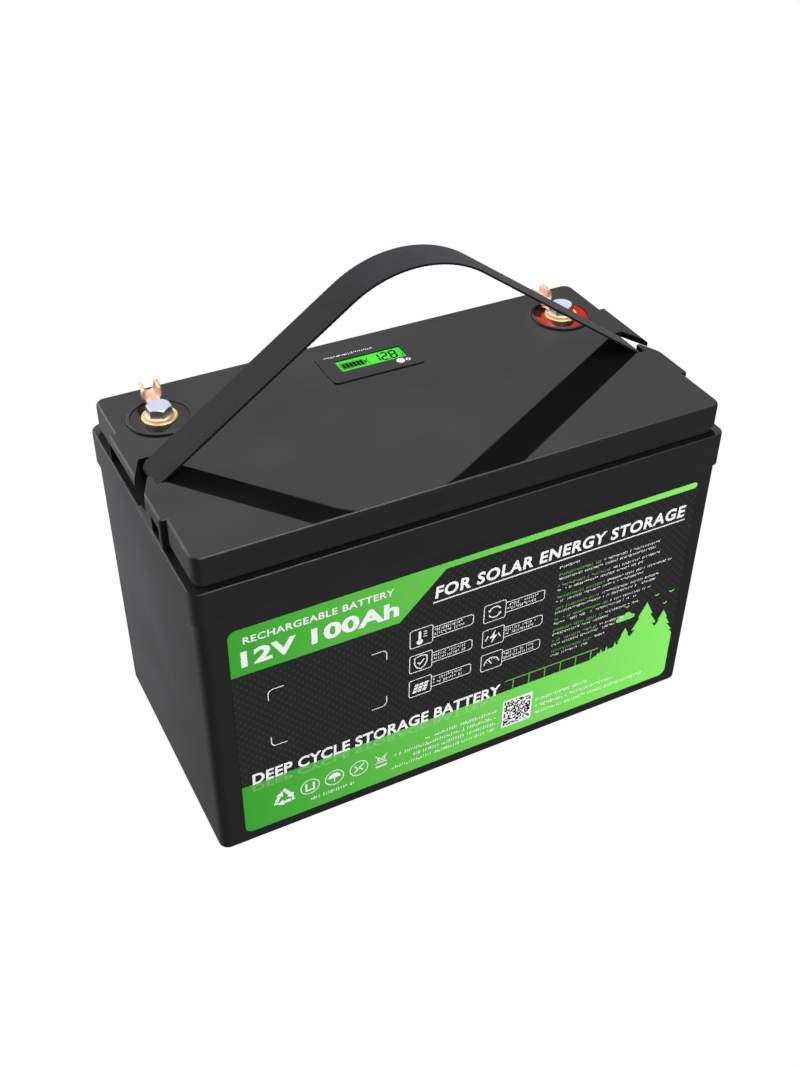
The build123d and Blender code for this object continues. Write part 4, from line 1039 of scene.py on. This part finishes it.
class BATTERY_OT_label(bpy.types.Operator):
    """Makes the label film and everything printed on it"""

    bl_idname = "battery.label"
    bl_label = "Label"

    def execute(self, context):
        settings = context.scene.battery_label
        low, high = (Vector(corner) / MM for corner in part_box("front_label"))
        self.left, self.right, self.bottom, self.top = low.x, high.x, low.z, high.z
        self.white = white_ink("white screen ink")
        greens = (settings.green_left, settings.green_right, low.x, high.x)
        self.green = green_ink("green screen ink", *greens)
        self.dark_green = green_ink("green screen ink, thin", *greens, 0.62)
        self.blocks = rows_tree("rows_of_blocks", block_marks)
        self.greek = rows_tree("greek_letters", greek_marks)
        self.film(settings)
        self.green_fields()
        self.titles(settings)
        self.icons()
        self.small_print()
        return {"FINISHED"}

    def piece(self, name, bm, material, lift):
        """Puts a drawing on the film."""
        tidy_mesh(bm)
        bm.transform(label_place(lift))
        return add_piece(name, mesh_from(bm, name), material)

    def drawing(self, name, shapes, material, lift=GREEN_LIFT):
        """Puts flat shapes on the film."""
        bm = bmesh.new()
        for loops in shapes:
            add_shape(bm, loops, INK)
        return self.piece(name, bm, material, lift)

    def print_rows(self, name, tree, material, rows, lift=WHITE_LIFT, flush="left"):
        """Puts lines of marks on the film as one piece.

        Each of the rows is (start, middle height, columns, lines, values), and flush is the side that lines up.
        """
        bm = bmesh.new()
        for number, (start, middle, columns, lines, values) in enumerate(rows):
            mesh = blocks(tree, columns, lines, material, thickness=INK, seed=number + 3, **values)
            reach = (columns - 1) * values["pitch"] / 2
            way = 1 if flush == "left" else -1
            turn = Matrix.Rotation(0 if flush == "left" else math.pi, 4, "Z")
            mesh.transform(label_place(lift) @ Matrix.Translation((start * MM + way * reach, middle * MM, 0)) @ turn)
            bm.from_mesh(mesh)
            bpy.data.meshes.remove(mesh)
        return add_piece(name, mesh_from(bm, name), material)

    def film(self, settings):
        """The film itself, with softened edges."""
        bm = bmesh.new()
        add_shape(bm, [rounded_box(self.left, self.bottom, self.right, self.top, 5.0)], FILM)
        tidy_mesh(bm)
        bm.transform(label_place(-FILM / 2 - 0.01 * MM))
        film = add_piece("label_film", mesh_from(bm, "label_film"), printed_film("satin vinyl film", settings.black))
        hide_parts("front_label")

    def green_fields(self):
        """The header, the strip, the lower band and the landscape."""
        left, right, bottom, top = self.left, self.right, self.bottom, self.top
        header = [(-48, 134.7), (-19.5, 163), (-18.6, 163.2), (right - 3, 163.2)]
        header += arc((right - 3, top - 2.15), 2.15, -90, 90, 8)
        header += arc((left + 5, top - 5), 5, 90, 180, 8) + [(left, 134.7)]
        shore = [(right - 2.5, 49.5)]
        shore += [
            (88 + (right - 90.5) * t, 48 + 5.2 * math.sin(math.pi * t) ** 0.8 + 0.5 * math.sin(19 * t) + 1.6 * t)
            for t in (1 - i / 24 for i in range(1, 25))
        ]
        band = arc((left + 5, bottom + 5), 5, 180, 270, 8) + arc((right - 5, bottom + 5), 5, 270, 360, 8)
        band += [(right, 46), *shore, (left, 48)]
        grass = [(92, 49.4)]
        for i in range(14):
            x = 93.5 + i * 2.1
            grass += [(x, 52.2 + 3.1 * math.sin(i * 2.4) + 0.22 * i), (x + 1.0, 50.6 + 0.28 * i)]
        grass.append((123.5, 49.0))
        trees = []
        for x, foot, height in ((127, 48.5, 33), (141.5, 47.5, 22), (112.5, 48.5, 17)):
            half = height * 0.4
            steps = [(half * reach, drop) for reach, drop in FIR_TIERS] + [(0.9, 0.9), (0.9, 1.0)]
            right_side = [(x + dx, foot + height * (1 - drop)) for dx, drop in steps]
            trees.append([[(x, foot + height), *right_side, *((2 * x - px, pz) for px, pz in right_side[::-1])]])
        cloud = arc((106.5, 74.6), 2.2, 90, 270, 6) + arc((116.5, 74.2), 1.8, -90, 90, 6)
        cloud += arc((112.5, 76.2), 2.6, 20, 160, 8)
        birds = []
        for x, z, size in ((145.2, 83.8, 2.0), (141.4, 75.2, 1.5), (134.0, 84.6, 1.5), (111.5, 83.4, 1.5)):
            birds.append(ribbon([(x - size, z + 0.5), (x, z - 0.2), (x + size, z + 0.8)], 0.8))
        self.drawing("label_green_fields", [[header], [band]], self.green)
        self.drawing("label_landscape", [[grass], [cloud], *birds], self.green, DETAIL_LIFT)
        for number, (tree, lift) in enumerate(zip(trees, TREE_LIFTS), 1):
            self.drawing(f"label_tree_{number}", [tree], self.green, lift)
        rail = [ribbon([(25, 56.6), (93, 56.2)], 1.0)]
        self.drawing("label_rail", rail, self.dark_green, DETAIL_LIFT)
        posts = dict(pitch=11.4 * MM, row_pitch=1 * MM, mark_width=0.8 * MM, mark_height=8.2 * MM)
        self.print_rows("label_rail_posts", self.blocks, self.dark_green, [(31.0, 52.0, 6, 1, posts)], DETAIL_LIFT)

    def titles(self, settings):
        """The words: ratings and plain descriptions."""
        bm = bmesh.new()
        add_words(bm, "RECHARGEABLE BATTERY", (-139.5, 156.4, -51.5, 161.2), INK, bold=0.018, spacing=1.08)
        add_words(bm, settings.rating, (-141.5, 140.2, -48.5, 151.6), INK, bold=0.038, spacing=1.04)
        add_words(bm, settings.title, (-26, 143.6, 144.6, 152.4), INK, bold=0.034, slant=0.08, spacing=1.12)
        add_shape(bm, ribbon([(-27.2, 141.1), (145.2, 141.1)], 0.9), INK)
        self.piece("label_titles", bm, self.white, WHITE_LIFT)
        bm = bmesh.new()
        lower = "DEEP CYCLE STORAGE BATTERY"
        add_words(bm, lower, (-141.2, 47.4, 22.2, 56.2), INK, bold=0.03, slant=0.04, spacing=1.04)
        self.piece("label_lower_title", bm, self.white, TITLE_LIFT)
        bm = bmesh.new()
        add_words(bm, lower, (-141.6, 41.8, 21.8, 46.8), INK, bold=0.03, slant=0.04, spacing=1.04, upside_down=True)
        self.piece("label_title_echo", bm, self.pale_green(), ECHO_LIFT)

    def pale_green(self):
        """The green of the lower title's mirrored echo, a little paler than the band."""
        settings = bpy.context.scene.battery_label
        pale = [(*(0.86 * c + 0.14 for c in colour[:3]), 1.0) for colour in (settings.green_left, settings.green_right)]
        return green_ink("green screen ink, echo", *pale, self.left, self.right, 0.96)

    def icons(self):
        """Corner marks, the six framed pictograms and the round handling marks."""
        shapes = []
        for x, dx in ((-128, 1), (-56, -1)):
            for z, dz in ((117.5, -1), (73.5, 1)):
                bend = [
                    (x + dx * (3 - 3 * math.cos(a)), z + dz * (3 - 3 * math.sin(a)))
                    for a in (math.radians(15 * i) for i in range(7))
                ]
                shapes.append(ribbon([(x, z + dz * 7.5), *bend, (x + dx * 9.5, z)], 0.55))
        makers = ((icon_thermometer, icon_cycle), (icon_shield, icon_bolt), (icon_panel, icon_gauge))
        for row, pair in enumerate(makers):
            for column, maker in enumerate(pair):
                left = -41.3 + 48.1 * column
                top = 125.0 - 19.6 * row
                shapes.append(ribbon(rounded_box(left, top - 13.4, left + 14.5, top, 1.2), 0.5, True))
                shapes += maker(left + 7.2, top - 6.7)
                tag = [(left + 14.5, top - 10.3), (left + 39.8, top - 10.3), (left + 41, top - 9.1)]
                tag += [(left + 41, top - 3.8), (left + 39.8, top - 2.6), (left + 14.5, top - 2.6)]
                shapes.append(ribbon(tag, 0.5))
        shapes += icon_recycle(-122.6, 27.2, 7.6)
        for x in (-106.2, -90.4, -74.3):
            shapes.append(ribbon(arc((x, 28.3), 5.9, 0, 360, 36)[:-1], 0.6, True))
        shapes.append(ribbon([(-108.6, 31.5), (-108.6, 25.5), (-103.8, 25.5), (-103.8, 31.5)], 1.3))
        shapes.append([arc((-90.4, 28.2), 4.0, 0, 180, 14)])
        shapes.append(ribbon([(-90.4, 28.4), (-90.4, 24.6)], 0.6))
        shapes.append(ribbon([(-77.6, 25.4), (-71.0, 31.6)], 0.9))
        shapes.append(ribbon([(-77.2, 31.0), (-75.4, 28.8), (-73.2, 27.6), (-71.6, 25.8)], 0.8))
        shapes.append(ribbon([(-62.0, 31.6), (-61.2, 26.4), (-57.6, 26.4), (-56.8, 31.6)], 0.7))
        shapes.append(ribbon([(-63.6, 25.6), (-55.4, 32.6)], 0.6))
        shapes.append(ribbon([(-63.2, 32.4), (-55.6, 25.6)], 0.6))
        shapes.append([rounded_box(-63.2, 22.4, -55.6, 23.6, 0.0)])
        self.drawing("label_pictograms", shapes, self.white, WHITE_LIFT)

    def small_print(self):
        """Greek letters in rows stand for every line of small print, and a field of tiles for the square code."""
        print_size = dict(mark_width=0.95 * MM, mark_height=1.35 * MM, slant=0.2, gaps=0.13, height_spread=0.45)
        text = dict(print_size, pitch=1.32 * MM, row_pitch=3.2 * MM)
        head = dict(print_size, pitch=1.5 * MM, row_pitch=3.2 * MM, mark_width=1.15 * MM, mark_height=1.6 * MM)
        heads, lines = [], [(57.2, 135.6, 11, 1, text)]
        ends = (131, 132, 142, 134, 130, 121, 112, 98)
        for i, end in enumerate(ends):
            z = 129.8 - 8.85 * i
            long_head = 20 + (i * 5) % 7
            head_end = 57.4 + 1.5 * long_head
            heads.append((57.4, z, long_head, 1, head))
            lines.append((head_end + 1.6, z + 0.2, max(4, int((end - head_end - 2) / 1.32)), 1, text))
            lines.append((57.2, z - 3.3, int((end - 60 - 9 * (i % 3)) / 1.32), 1, text))
        self.print_rows("label_headings", self.greek, self.dark_green, heads)
        self.print_rows("label_paragraphs", self.greek, self.white, lines)
        tag = dict(print_size, pitch=1.42 * MM, row_pitch=3.1 * MM, mark_height=1.6 * MM, slant=0.1, ragged=0.12)
        tags = [(-25.2 + 48.1 * column, 118.6 - 19.6 * row, 16, 2, tag) for row in range(3) for column in range(2)]
        self.print_rows("label_tag_words", self.greek, self.white, tags)
        band = dict(print_size, pitch=1.62 * MM, mark_width=1.25 * MM, mark_height=1.9 * MM, slant=0.12)
        left_lines = dict(band, row_pitch=5.3 * MM)
        ranks = [(19.6, 33.2 - 5.3 * i, columns, 1, left_lines) for i, columns in enumerate((31, 44, 36, 45))]
        self.print_rows("label_ratings", self.greek, self.white, ranks, flush="right")
        right_lines = dict(band, row_pitch=5.8 * MM)
        ranks = [(49.6, 29.8 - 5.8 * i, columns, 1, right_lines) for i, columns in enumerate((24, 37, 51))]
        ranks.append((-105.6, 17.2, 18, 1, dict(right_lines, slant=0.0)))
        self.print_rows("label_address", self.greek, self.white, ranks)
        self.drawing("label_tile_ground", [[rounded_box(24.9, 15.4, 46.3, 39.0, 0.4)]], self.white, WHITE_LIFT)
        black = printed_film("black screen ink", linear("#1b1b1b"), dimples=False)
        tile = dict(pitch=1.0 * MM, row_pitch=1.0 * MM, mark_width=1.0 * MM, mark_height=1.0 * MM, gaps=0.48)
        self.print_rows("label_tiles", self.blocks, black, [(26.6, 27.2, 19, 21, tile)], TILE_LIFT)


# ------------------------------------------------------------------------------------------- strap
STRAP_SLOPE = math.radians(35.2)  # of each straight leg above the lid
CROWN_RADIUS = 69.0 * MM
FOOT_RADIUS = 4.0 * MM  # where a leg turns down inside its hole
LOOP_CLEARANCE = 0.2 * MM
TAIL_RISE = 6.0 * MM  # of the loop's tail above its bar
WEAVE_STEP = 0.6 * MM  # between the points of the webbing's mesh


def smooth_step(t):
    """Eases from 0 to 1."""
    return t * t * (3 - 2 * t)


def strap_route(side, thickness):
    """The middle line of one half of the strap, from the crown down to the tail of the loop round its bar."""
    low, high = (Vector(corner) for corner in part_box("strap_right_pin"))
    bar_x, bar_z, bar_radius = (low.x + high.x) / 2, (low.z + high.z) / 2, (high.z - low.z) / 2
    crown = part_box("strap_arch")[1][2] - thickness / 2
    peak = crown + CROWN_RADIUS * (1 / math.cos(STRAP_SLOPE) - 1)
    angles = [STRAP_SLOPE * i / 16 for i in range(17)]
    route = [(CROWN_RADIUS * math.sin(a), crown - CROWN_RADIUS * (1 - math.cos(a))) for a in angles]
    around = bar_radius + LOOP_CLEARANCE + thickness / 2
    turn_x = bar_x + around - FOOT_RADIUS * (1 - math.sin(STRAP_SLOPE))
    top = peak - math.tan(STRAP_SLOPE) * turn_x
    centre = (bar_x + around - FOOT_RADIUS, top - FOOT_RADIUS * math.cos(STRAP_SLOPE))
    route += arc(centre, FOOT_RADIUS, 90 - math.degrees(STRAP_SLOPE), 0, 8)
    route += arc((bar_x, bar_z), around, 0, -180, 16)
    tail_x = bar_x - thickness * 1.04
    tail_z = bar_z + TAIL_RISE
    route += [
        (bar_x - around + (tail_x - bar_x + around) * smooth_step(t), bar_z + (tail_z - bar_z) * t)
        for t in (i / 8 for i in range(1, 9))
    ]
    return [(side * x, z) for x, z in route]


class BATTERY_OT_strap(bpy.types.Operator):
    """Weaves the carrying strap in two halves that meet at its crown"""

    bl_idname = "battery.strap"
    bl_label = "Strap"

    def execute(self, context):
        settings = context.scene.battery_strap
        yarn = woven_polyester(
            "woven polyester webbing", settings.colour, settings.width / MM, settings.rib_pitch / MM, settings.rib_lean
        )
        tree = webbing_tree()
        for side, word in ((-1, "left"), (1, "right")):
            route = strap_route(side, settings.thickness)
            curve = bpy.data.curves.new("strap_route", "CURVE")
            curve.dimensions = "3D"
            spline = curve.splines.new("POLY")
            spline.points.add(len(route) - 1)
            for point, (x, z) in zip(spline.points, route):
                point.co = (x, 0, z, 1)
            values = {
                "Width": settings.width,
                "Thickness": settings.thickness,
                "Rib Pitch": settings.rib_pitch,
                "Rib Depth": settings.rib_depth,
                "Lean": settings.rib_lean,
                "Step": WEAVE_STEP,
                "Material": yarn,
            }
            mesh = run_tree(tree, curve, values)
            for polygon in mesh.polygons:
                polygon.use_smooth = True
            half = add_piece(f"strap_{word}_half", mesh, None, body=None)
            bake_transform(half)
            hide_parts("strap_arch", f"strap_{word}_end")
        dress(metal("black-oxide steel bar", "#2e2e30", 0.45), "strap_left_pin", "strap_right_pin")
        return {"FINISHED"}


# ------------------------------------------------------------------------------------------- terminals
LUG_TURNS = {"negative": -4.0, "positive": 14.0}  # degrees from straight back
LUG_SHEET = 1.3 * MM
LUG_RING, LUG_HOLE = 8.2 * MM, 4.3 * MM  # radii of the tongue's ring
LUG_REACH = 23.0 * MM  # from the bolt to the barrel's end
BARREL_LENGTH, TONGUE_LAP = 10.8 * MM, 1.2 * MM
NECK = 4.0 * MM  # half of the tongue's width, and the barrel's inner radius
BARREL_HALF = 10.4 * MM  # half of the flat blank that the barrel is rolled from
BARREL_RISE = 0.9 * MM
BARREL_THICKNESS = 1.5  # the barrel's wall over the tongue's
EAR_LEAN = math.radians(74)  # how far an open ear has been rolled up from flat
BARREL_STEPS = (26, 30)  # along the barrel and round it


def barrel_point(t, s, sheet):
    """Where a point of the flat blank goes, at a share t of the barrel's length and s from its middle: x, y and z."""
    curl = smooth_step(min(1, t / 0.42))
    bend = max(curl / (NECK + sheet / 2), 1e-3)
    roll = min(abs(s) * bend, EAR_LEAN * max(curl, 0.02))
    rest = max(0, abs(s) - roll / bend)
    out = math.sin(roll) / bend + rest * math.cos(roll)
    rise = (1 - math.cos(roll)) / bend + rest * math.sin(roll)
    return math.copysign(out, s), LUG_REACH - BARREL_LENGTH * (1 - t), sheet / 2 + rise + BARREL_RISE * smooth_step(t)


def lug_mesh(name, x, y, bottom, turn):
    """A pressed copper lug: a flat ring tongue that narrows and then rolls up into an open crimp barrel."""
    bm = bmesh.new()
    meet = math.degrees(math.asin(NECK / LUG_RING))
    rim = arc((0, 0), LUG_RING / MM, 90 + meet, 450 - meet, 40)
    neck_end = (LUG_REACH - BARREL_LENGTH + TONGUE_LAP) / MM
    outline = [(-NECK / MM, neck_end), *rim, (NECK / MM, neck_end)]
    bore = arc((0, 0), LUG_HOLE / MM, 0, 360, 40)[:-1]
    add_shape(bm, [outline, bore], LUG_SHEET)
    tidy_mesh(bm)
    corners = [edge for edge in bm.edges if edge.calc_face_angle(0) > 1.0]
    bmesh.ops.bevel(bm, geom=corners, offset=0.25 * MM, segments=2, affect="EDGES")
    bm.transform(Matrix.Translation((x, y, bottom + LUG_SHEET / 2)))
    stations, steps = BARREL_STEPS
    rows = []
    for i in range(stations + 1):
        t = i / stations
        grow = smooth_step(min(1, max(0, (t - 0.12) / 0.28)))
        half = NECK * (1 - grow) + BARREL_HALF * grow
        flat = [half * (2 * j / steps - 1) for j in range(steps + 1)]
        rows.append([bm.verts.new(Vector((x, y, bottom)) + Vector(barrel_point(t, s, LUG_SHEET))) for s in flat])
    barrel = [
        bm.faces.new((rows[i][j], rows[i][j + 1], rows[i + 1][j + 1], rows[i + 1][j]))
        for i in range(stations)
        for j in range(steps)
    ]
    bmesh.ops.recalc_face_normals(bm, faces=barrel)
    bmesh.ops.solidify(bm, geom=barrel, thickness=LUG_SHEET * BARREL_THICKNESS)
    bmesh.ops.recalc_face_normals(bm, faces=bm.faces)
    bmesh.ops.rotate(bm, verts=bm.verts, cent=(x, y, bottom), matrix=Matrix.Rotation(math.radians(turn), 3, "Z"))
    return mesh_from(bm, name, smooth=True)


class BATTERY_OT_terminals(bpy.types.Operator):
    """Makes the pressed lugs and finishes the collars, posts, bolts and nuts"""

    bl_idname = "battery.terminals"
    bl_label = "Terminals"

    def execute(self, context):
        settings = context.scene.battery_terminals
        dress(moulded_abs("moulded ABS, negative collar", settings.negative, 0.6), "negative_collar")
        dress(moulded_abs("moulded ABS, positive collar", settings.positive, 0.6, wear_and_highlight=0.2), "positive_collar")
        low, high = (Vector(corner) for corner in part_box("positive_post"))
        centre = ((low.x + high.x) / 2, (low.y + high.y) / 2)
        brass = metal("turned brass", "#ecd8a0", 0.5, rings_at=(centre[0] / MM, centre[1] / MM))
        dress(brass, "negative_post", "positive_post", "terminal_nuts")
        dress(metal("bright zinc plate", "#c9cddf", 0.34, scratch_mm=9.0, tone=0.02), "terminal_bolts")
        dress(silicone_jacket("nitrile rubber", "#151515"), "terminal_orings")
        copper = metal("pressed copper sheet", "#f4d0b8", 0.56, scratch_mm=8.0, tone=0.04)
        for word, side in (("negative", -1), ("positive", 1)):
            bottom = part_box(f"{word}_lug")[0][2]
            mesh = lug_mesh(f"{word}_cable_lug", side * centre[0], centre[1], bottom, LUG_TURNS[word])
            lug = add_piece(f"{word}_cable_lug", mesh, copper)
            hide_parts(f"{word}_lug")
            for panel in PANELS:
                if panel[1] == "metal":
                    bpy.data.collections[panel[0]].objects.link(lug)
        return {"FINISHED"}


# ------------------------------------------------------------------------------------------- display
SEGMENTS = {"1": "bc", "2": "abged", "8": "abcdefg"}
SEGMENT_INK = 0.04 * MM
INK_GAP = 0.005 * MM  # under the segments
CAPTION_PLACE = (-8.6 * MM, 62.6 * MM)
CAPTION_GAP = 0.01 * MM


def segment_shapes(digit, x, y, width, height, bar):
    """The lit bars of one seven-segment digit, with slanted ends, leaning a little to the right."""
    middle, top, half = y + height / 2, y + height, bar / 2
    ends = {
        "a": ((x, top), (x + width, top)),
        "g": ((x, middle), (x + width, middle)),
        "d": ((x, y), (x + width, y)),
        "f": ((x, top), (x, middle)),
        "b": ((x + width, top), (x + width, middle)),
        "e": ((x, middle), (x, y)),
        "c": ((x + width, middle), (x + width, y)),
    }
    shapes = []
    for name in SEGMENTS[digit]:
        start, end = (Vector(point) for point in ends[name])
        way = (end - start).normalized()
        side = Vector((-way.y, way.x)) * half
        gap = way * half * 1.1
        start, end = start + gap, end - gap
        point = way * half
        loop = [start - point * 0.9, start + side, end + side, end + point * 0.9, end - side, start - side]
        shapes.append([[(p.x + (p.y - y) * 0.1, p.y) for p in loop]])
    return shapes


class BATTERY_OT_display(bpy.types.Operator):
    """Makes the display's reading, its window, its printed marks and the button"""

    bl_idname = "battery.display"
    bl_label = "Display"

    def execute(self, context):
        settings = context.scene.battery_display
        shell = context.scene.battery_shell
        # The bezel's edges get a stronger painted highlight and rub than the lid's.
        dress(moulded_abs("moulded ABS, bezel", shell.colour, 0.6, wear_and_highlight=1.4), "display_bezel")
        dress(clear_window("clear acrylic window"), "display_lens")
        dress(lit_glass("lit display glass", settings.glow, settings.strength), "display_lcd", "display_backlight")
        white = moulded_abs("moulded white acetal", linear("#ecebe8"), 0.5, 0.35, 0.01, wear_and_highlight=0.0)
        dress(white, "display_button")
        glass_low, glass_high = (Vector(corner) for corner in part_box("display_lcd"))
        centre = (glass_low + glass_high) / 2 / MM
        face = glass_high.z
        bm = bmesh.new()
        shapes = []
        x = centre.x + 1.3
        for sign in settings.reading:
            if sign == ".":
                shapes.append([arc((x - 1.0, centre.y - 3.6), 0.5, 0, 360, 12)[:-1]])
                x += 0.3
            else:
                shapes += segment_shapes(sign, x, centre.y - 3.7, 3.7, 8.0, 1.3)
                x += 5.5
        mark = [(centre.x - 1.6, centre.y - 3.2), (centre.x - 3.0, centre.y), (centre.x - 1.6, centre.y + 3.2)]
        shapes.append(ribbon(mark, 0.5))
        volt = [(centre.x + 19.2, centre.y - 1.0), (centre.x + 20.0, centre.y - 3.6), (centre.x + 20.8, centre.y - 1.0)]
        shapes.append(ribbon(volt, 0.4))
        case_left, case_right = centre.x - 19.6, centre.x - 4.4
        frame_loop = rounded_box(case_left, centre.y - 3.4, case_right, centre.y + 3.4, 0.6)
        shapes.append(ribbon(frame_loop, 0.35, True))
        shapes.append([rounded_box(case_right + 0.2, centre.y - 1.3, case_right + 1.0, centre.y + 1.3, 0.2)])
        level = face + SEGMENT_INK / 2 + INK_GAP
        for loops in shapes:
            add_shape(bm, loops, SEGMENT_INK)
        tidy_mesh(bm)
        bm.transform(Matrix.Translation((0, 0, level)))
        ink = printed_film("dark display segments", linear("#07140a"), dimples=False)
        add_piece("display_reading", mesh_from(bm, "display_reading"), ink)
        tree = bpy.data.node_groups["rows_of_blocks"]
        bars = blocks(
            tree, 6, 1, ink, pitch=2.35 * MM, row_pitch=1 * MM, mark_width=2.1 * MM, mark_height=5.4 * MM,
            thickness=SEGMENT_INK,
        )
        bars.transform(Matrix.Translation(((case_left + case_right) / 2 * MM, centre.y * MM, level)))
        add_piece("display_charge_bars", bars, None)

        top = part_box("display_bezel")[1][2]
        self.white_marks(top)
        dress(glass_epoxy("solder mask over glass epoxy", "#0d5a2a", copper=True), "display_board")
        return {"FINISHED"}

    def white_marks(self, top):
        """The bezel's printed line of small letters and the button's power mark."""
        ink = white_ink("white pad-printed ink", "#c4c4c4")
        line = blocks(
            bpy.data.node_groups["greek_letters"], 25, 1, ink, pitch=1.3 * MM, row_pitch=1 * MM,
            mark_width=0.85 * MM, mark_height=1.2 * MM, thickness=SEGMENT_INK, gaps=0.05, height_spread=0.5, seed=4,
        )
        line.transform(Matrix.Translation((*CAPTION_PLACE, top + CAPTION_GAP)))
        add_piece("display_caption", line, None)
        button_low, button_high = (Vector(corner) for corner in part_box("display_button"))
        x = (button_low.x + button_high.x) / 2 / MM + 5.0
        y = (button_low.y + button_high.y) / 2 / MM
        bm = bmesh.new()
        add_shape(bm, ribbon(arc((x, y), 1.25, 125, 415, 20), 0.4), SEGMENT_INK)
        add_shape(bm, ribbon([(x, y + 0.2), (x, y + 1.7)], 0.4), SEGMENT_INK)
        tidy_mesh(bm)
        bm.transform(Matrix.Translation((0, 0, top + CAPTION_GAP)))
        add_piece("display_power_mark", mesh_from(bm, "display_power_mark"), ink)


# ------------------------------------------------------------------------------------------- inside
class BATTERY_OT_inside(bpy.types.Operator):
    """Finishes the cell pack, the management board and the cables"""

    bl_idname = "battery.inside"
    bl_label = "Inside"

    def execute(self, context):
        cells = [name for name in NODES if name.startswith("cell_") and name[5:].isdigit()]
        dress(shrink_film("shrink film over aluminium", "#1d4fa8"), *cells)
        dress(foam("closed-cell foam", "#2b2b2b"), "base_foam", "left_foam", "right_foam", "top_foam")
        dress(
            glass_epoxy("glass-epoxy sheet", "#b5b277"),
            "cell_separators", "pack_left_plate", "pack_right_plate", "insulation_tray",
        )
        dress(glass_epoxy("solder mask, management board", "#0b4f24", copper=True), "bms_board")
        white = moulded_abs("moulded nylon", linear("#e6e4dc"), 0.6, 0.45, 0.02, wear_and_highlight=0.0)
        dress(white, "tray_spacers", "bms_standoffs", "balance_plug")
        black = moulded_abs("moulded epoxy package", linear("#1d1d1e"), 0.5, 0.5)
        dress(black, "bms_transistors", "display_switch")
        dress(metal("extruded aluminium", "#c9cacc", 0.38), "bms_heatsink")
        dress(metal("rolled steel strip", "#a5a6a8", 0.35), "pack_bands", "cell_nuts", "display_screws")
        dress(metal("punched copper bar", "#d98e63", 0.3), "busbar_1", "busbar_2", "busbar_3")
        lugs = [n for n in NODES if n.endswith("_lug") and n not in ("negative_lug", "positive_lug")]
        dress(metal("tinned copper", "#c4c4c2", 0.36), *lugs)
        dress(silicone_jacket("silicone jacket, red", "#b01c16"), "positive_cable", "balance_wires", "display_wires")
        dress(silicone_jacket("silicone jacket, black", "#191919"), "output_cable", "pack_negative_cable")
        return {"FINISHED"}


# ------------------------------------------------------------------------------------------- panel
class BATTERY_PT_panel(bpy.types.Panel):
    """Lists the battery's settings and the operators that build it"""

    bl_idname = "BATTERY_PT_panel"
    bl_label = "Deep Cycle Battery"
    bl_space_type = "VIEW_3D"
    bl_region_type = "UI"
    bl_category = "Battery"

    def draw(self, context):
        for group in SETTINGS:
            box = self.layout.box()
            box.label(text=group.__doc__)
            for name in group.__annotations__:
                box.prop(getattr(context.scene, SETTINGS[group]), name)
        for operator in OPERATORS:
            self.layout.operator(operator.bl_idname)


SETTINGS = {
    ShellSettings: "battery_shell",
    LabelSettings: "battery_label",
    StrapSettings: "battery_strap",
    TerminalSettings: "battery_terminals",
    DisplaySettings: "battery_display",
    StageSettings: "battery_stage",
}
OPERATORS = (
    BATTERY_OT_stage,
    BATTERY_OT_shell,
    BATTERY_OT_label,
    BATTERY_OT_strap,
    BATTERY_OT_terminals,
    BATTERY_OT_display,
    BATTERY_OT_inside,
)


def register():
    """Registers the classes and hangs each group of settings on the scene."""
    for cls in (*SETTINGS, *OPERATORS, BATTERY_PT_panel):
        bpy.utils.register_class(cls)
    for group, name in SETTINGS.items():
        setattr(bpy.types.Scene, name, bpy.props.PointerProperty(type=group))


def unregister():
    """Undoes register."""
    for name in SETTINGS.values():
        delattr(bpy.types.Scene, name)
    for cls in reversed((*SETTINGS, *OPERATORS, BATTERY_PT_panel)):
        bpy.utils.unregister_class(cls)


def main():
    """Builds every piece in order."""
    register()
    bpy.ops.battery.stage()
    bpy.ops.battery.shell()
    bpy.ops.battery.label()
    bpy.ops.battery.strap()
    bpy.ops.battery.terminals()
    bpy.ops.battery.display()
    bpy.ops.battery.inside()


if __name__ == "__main__":
    main()
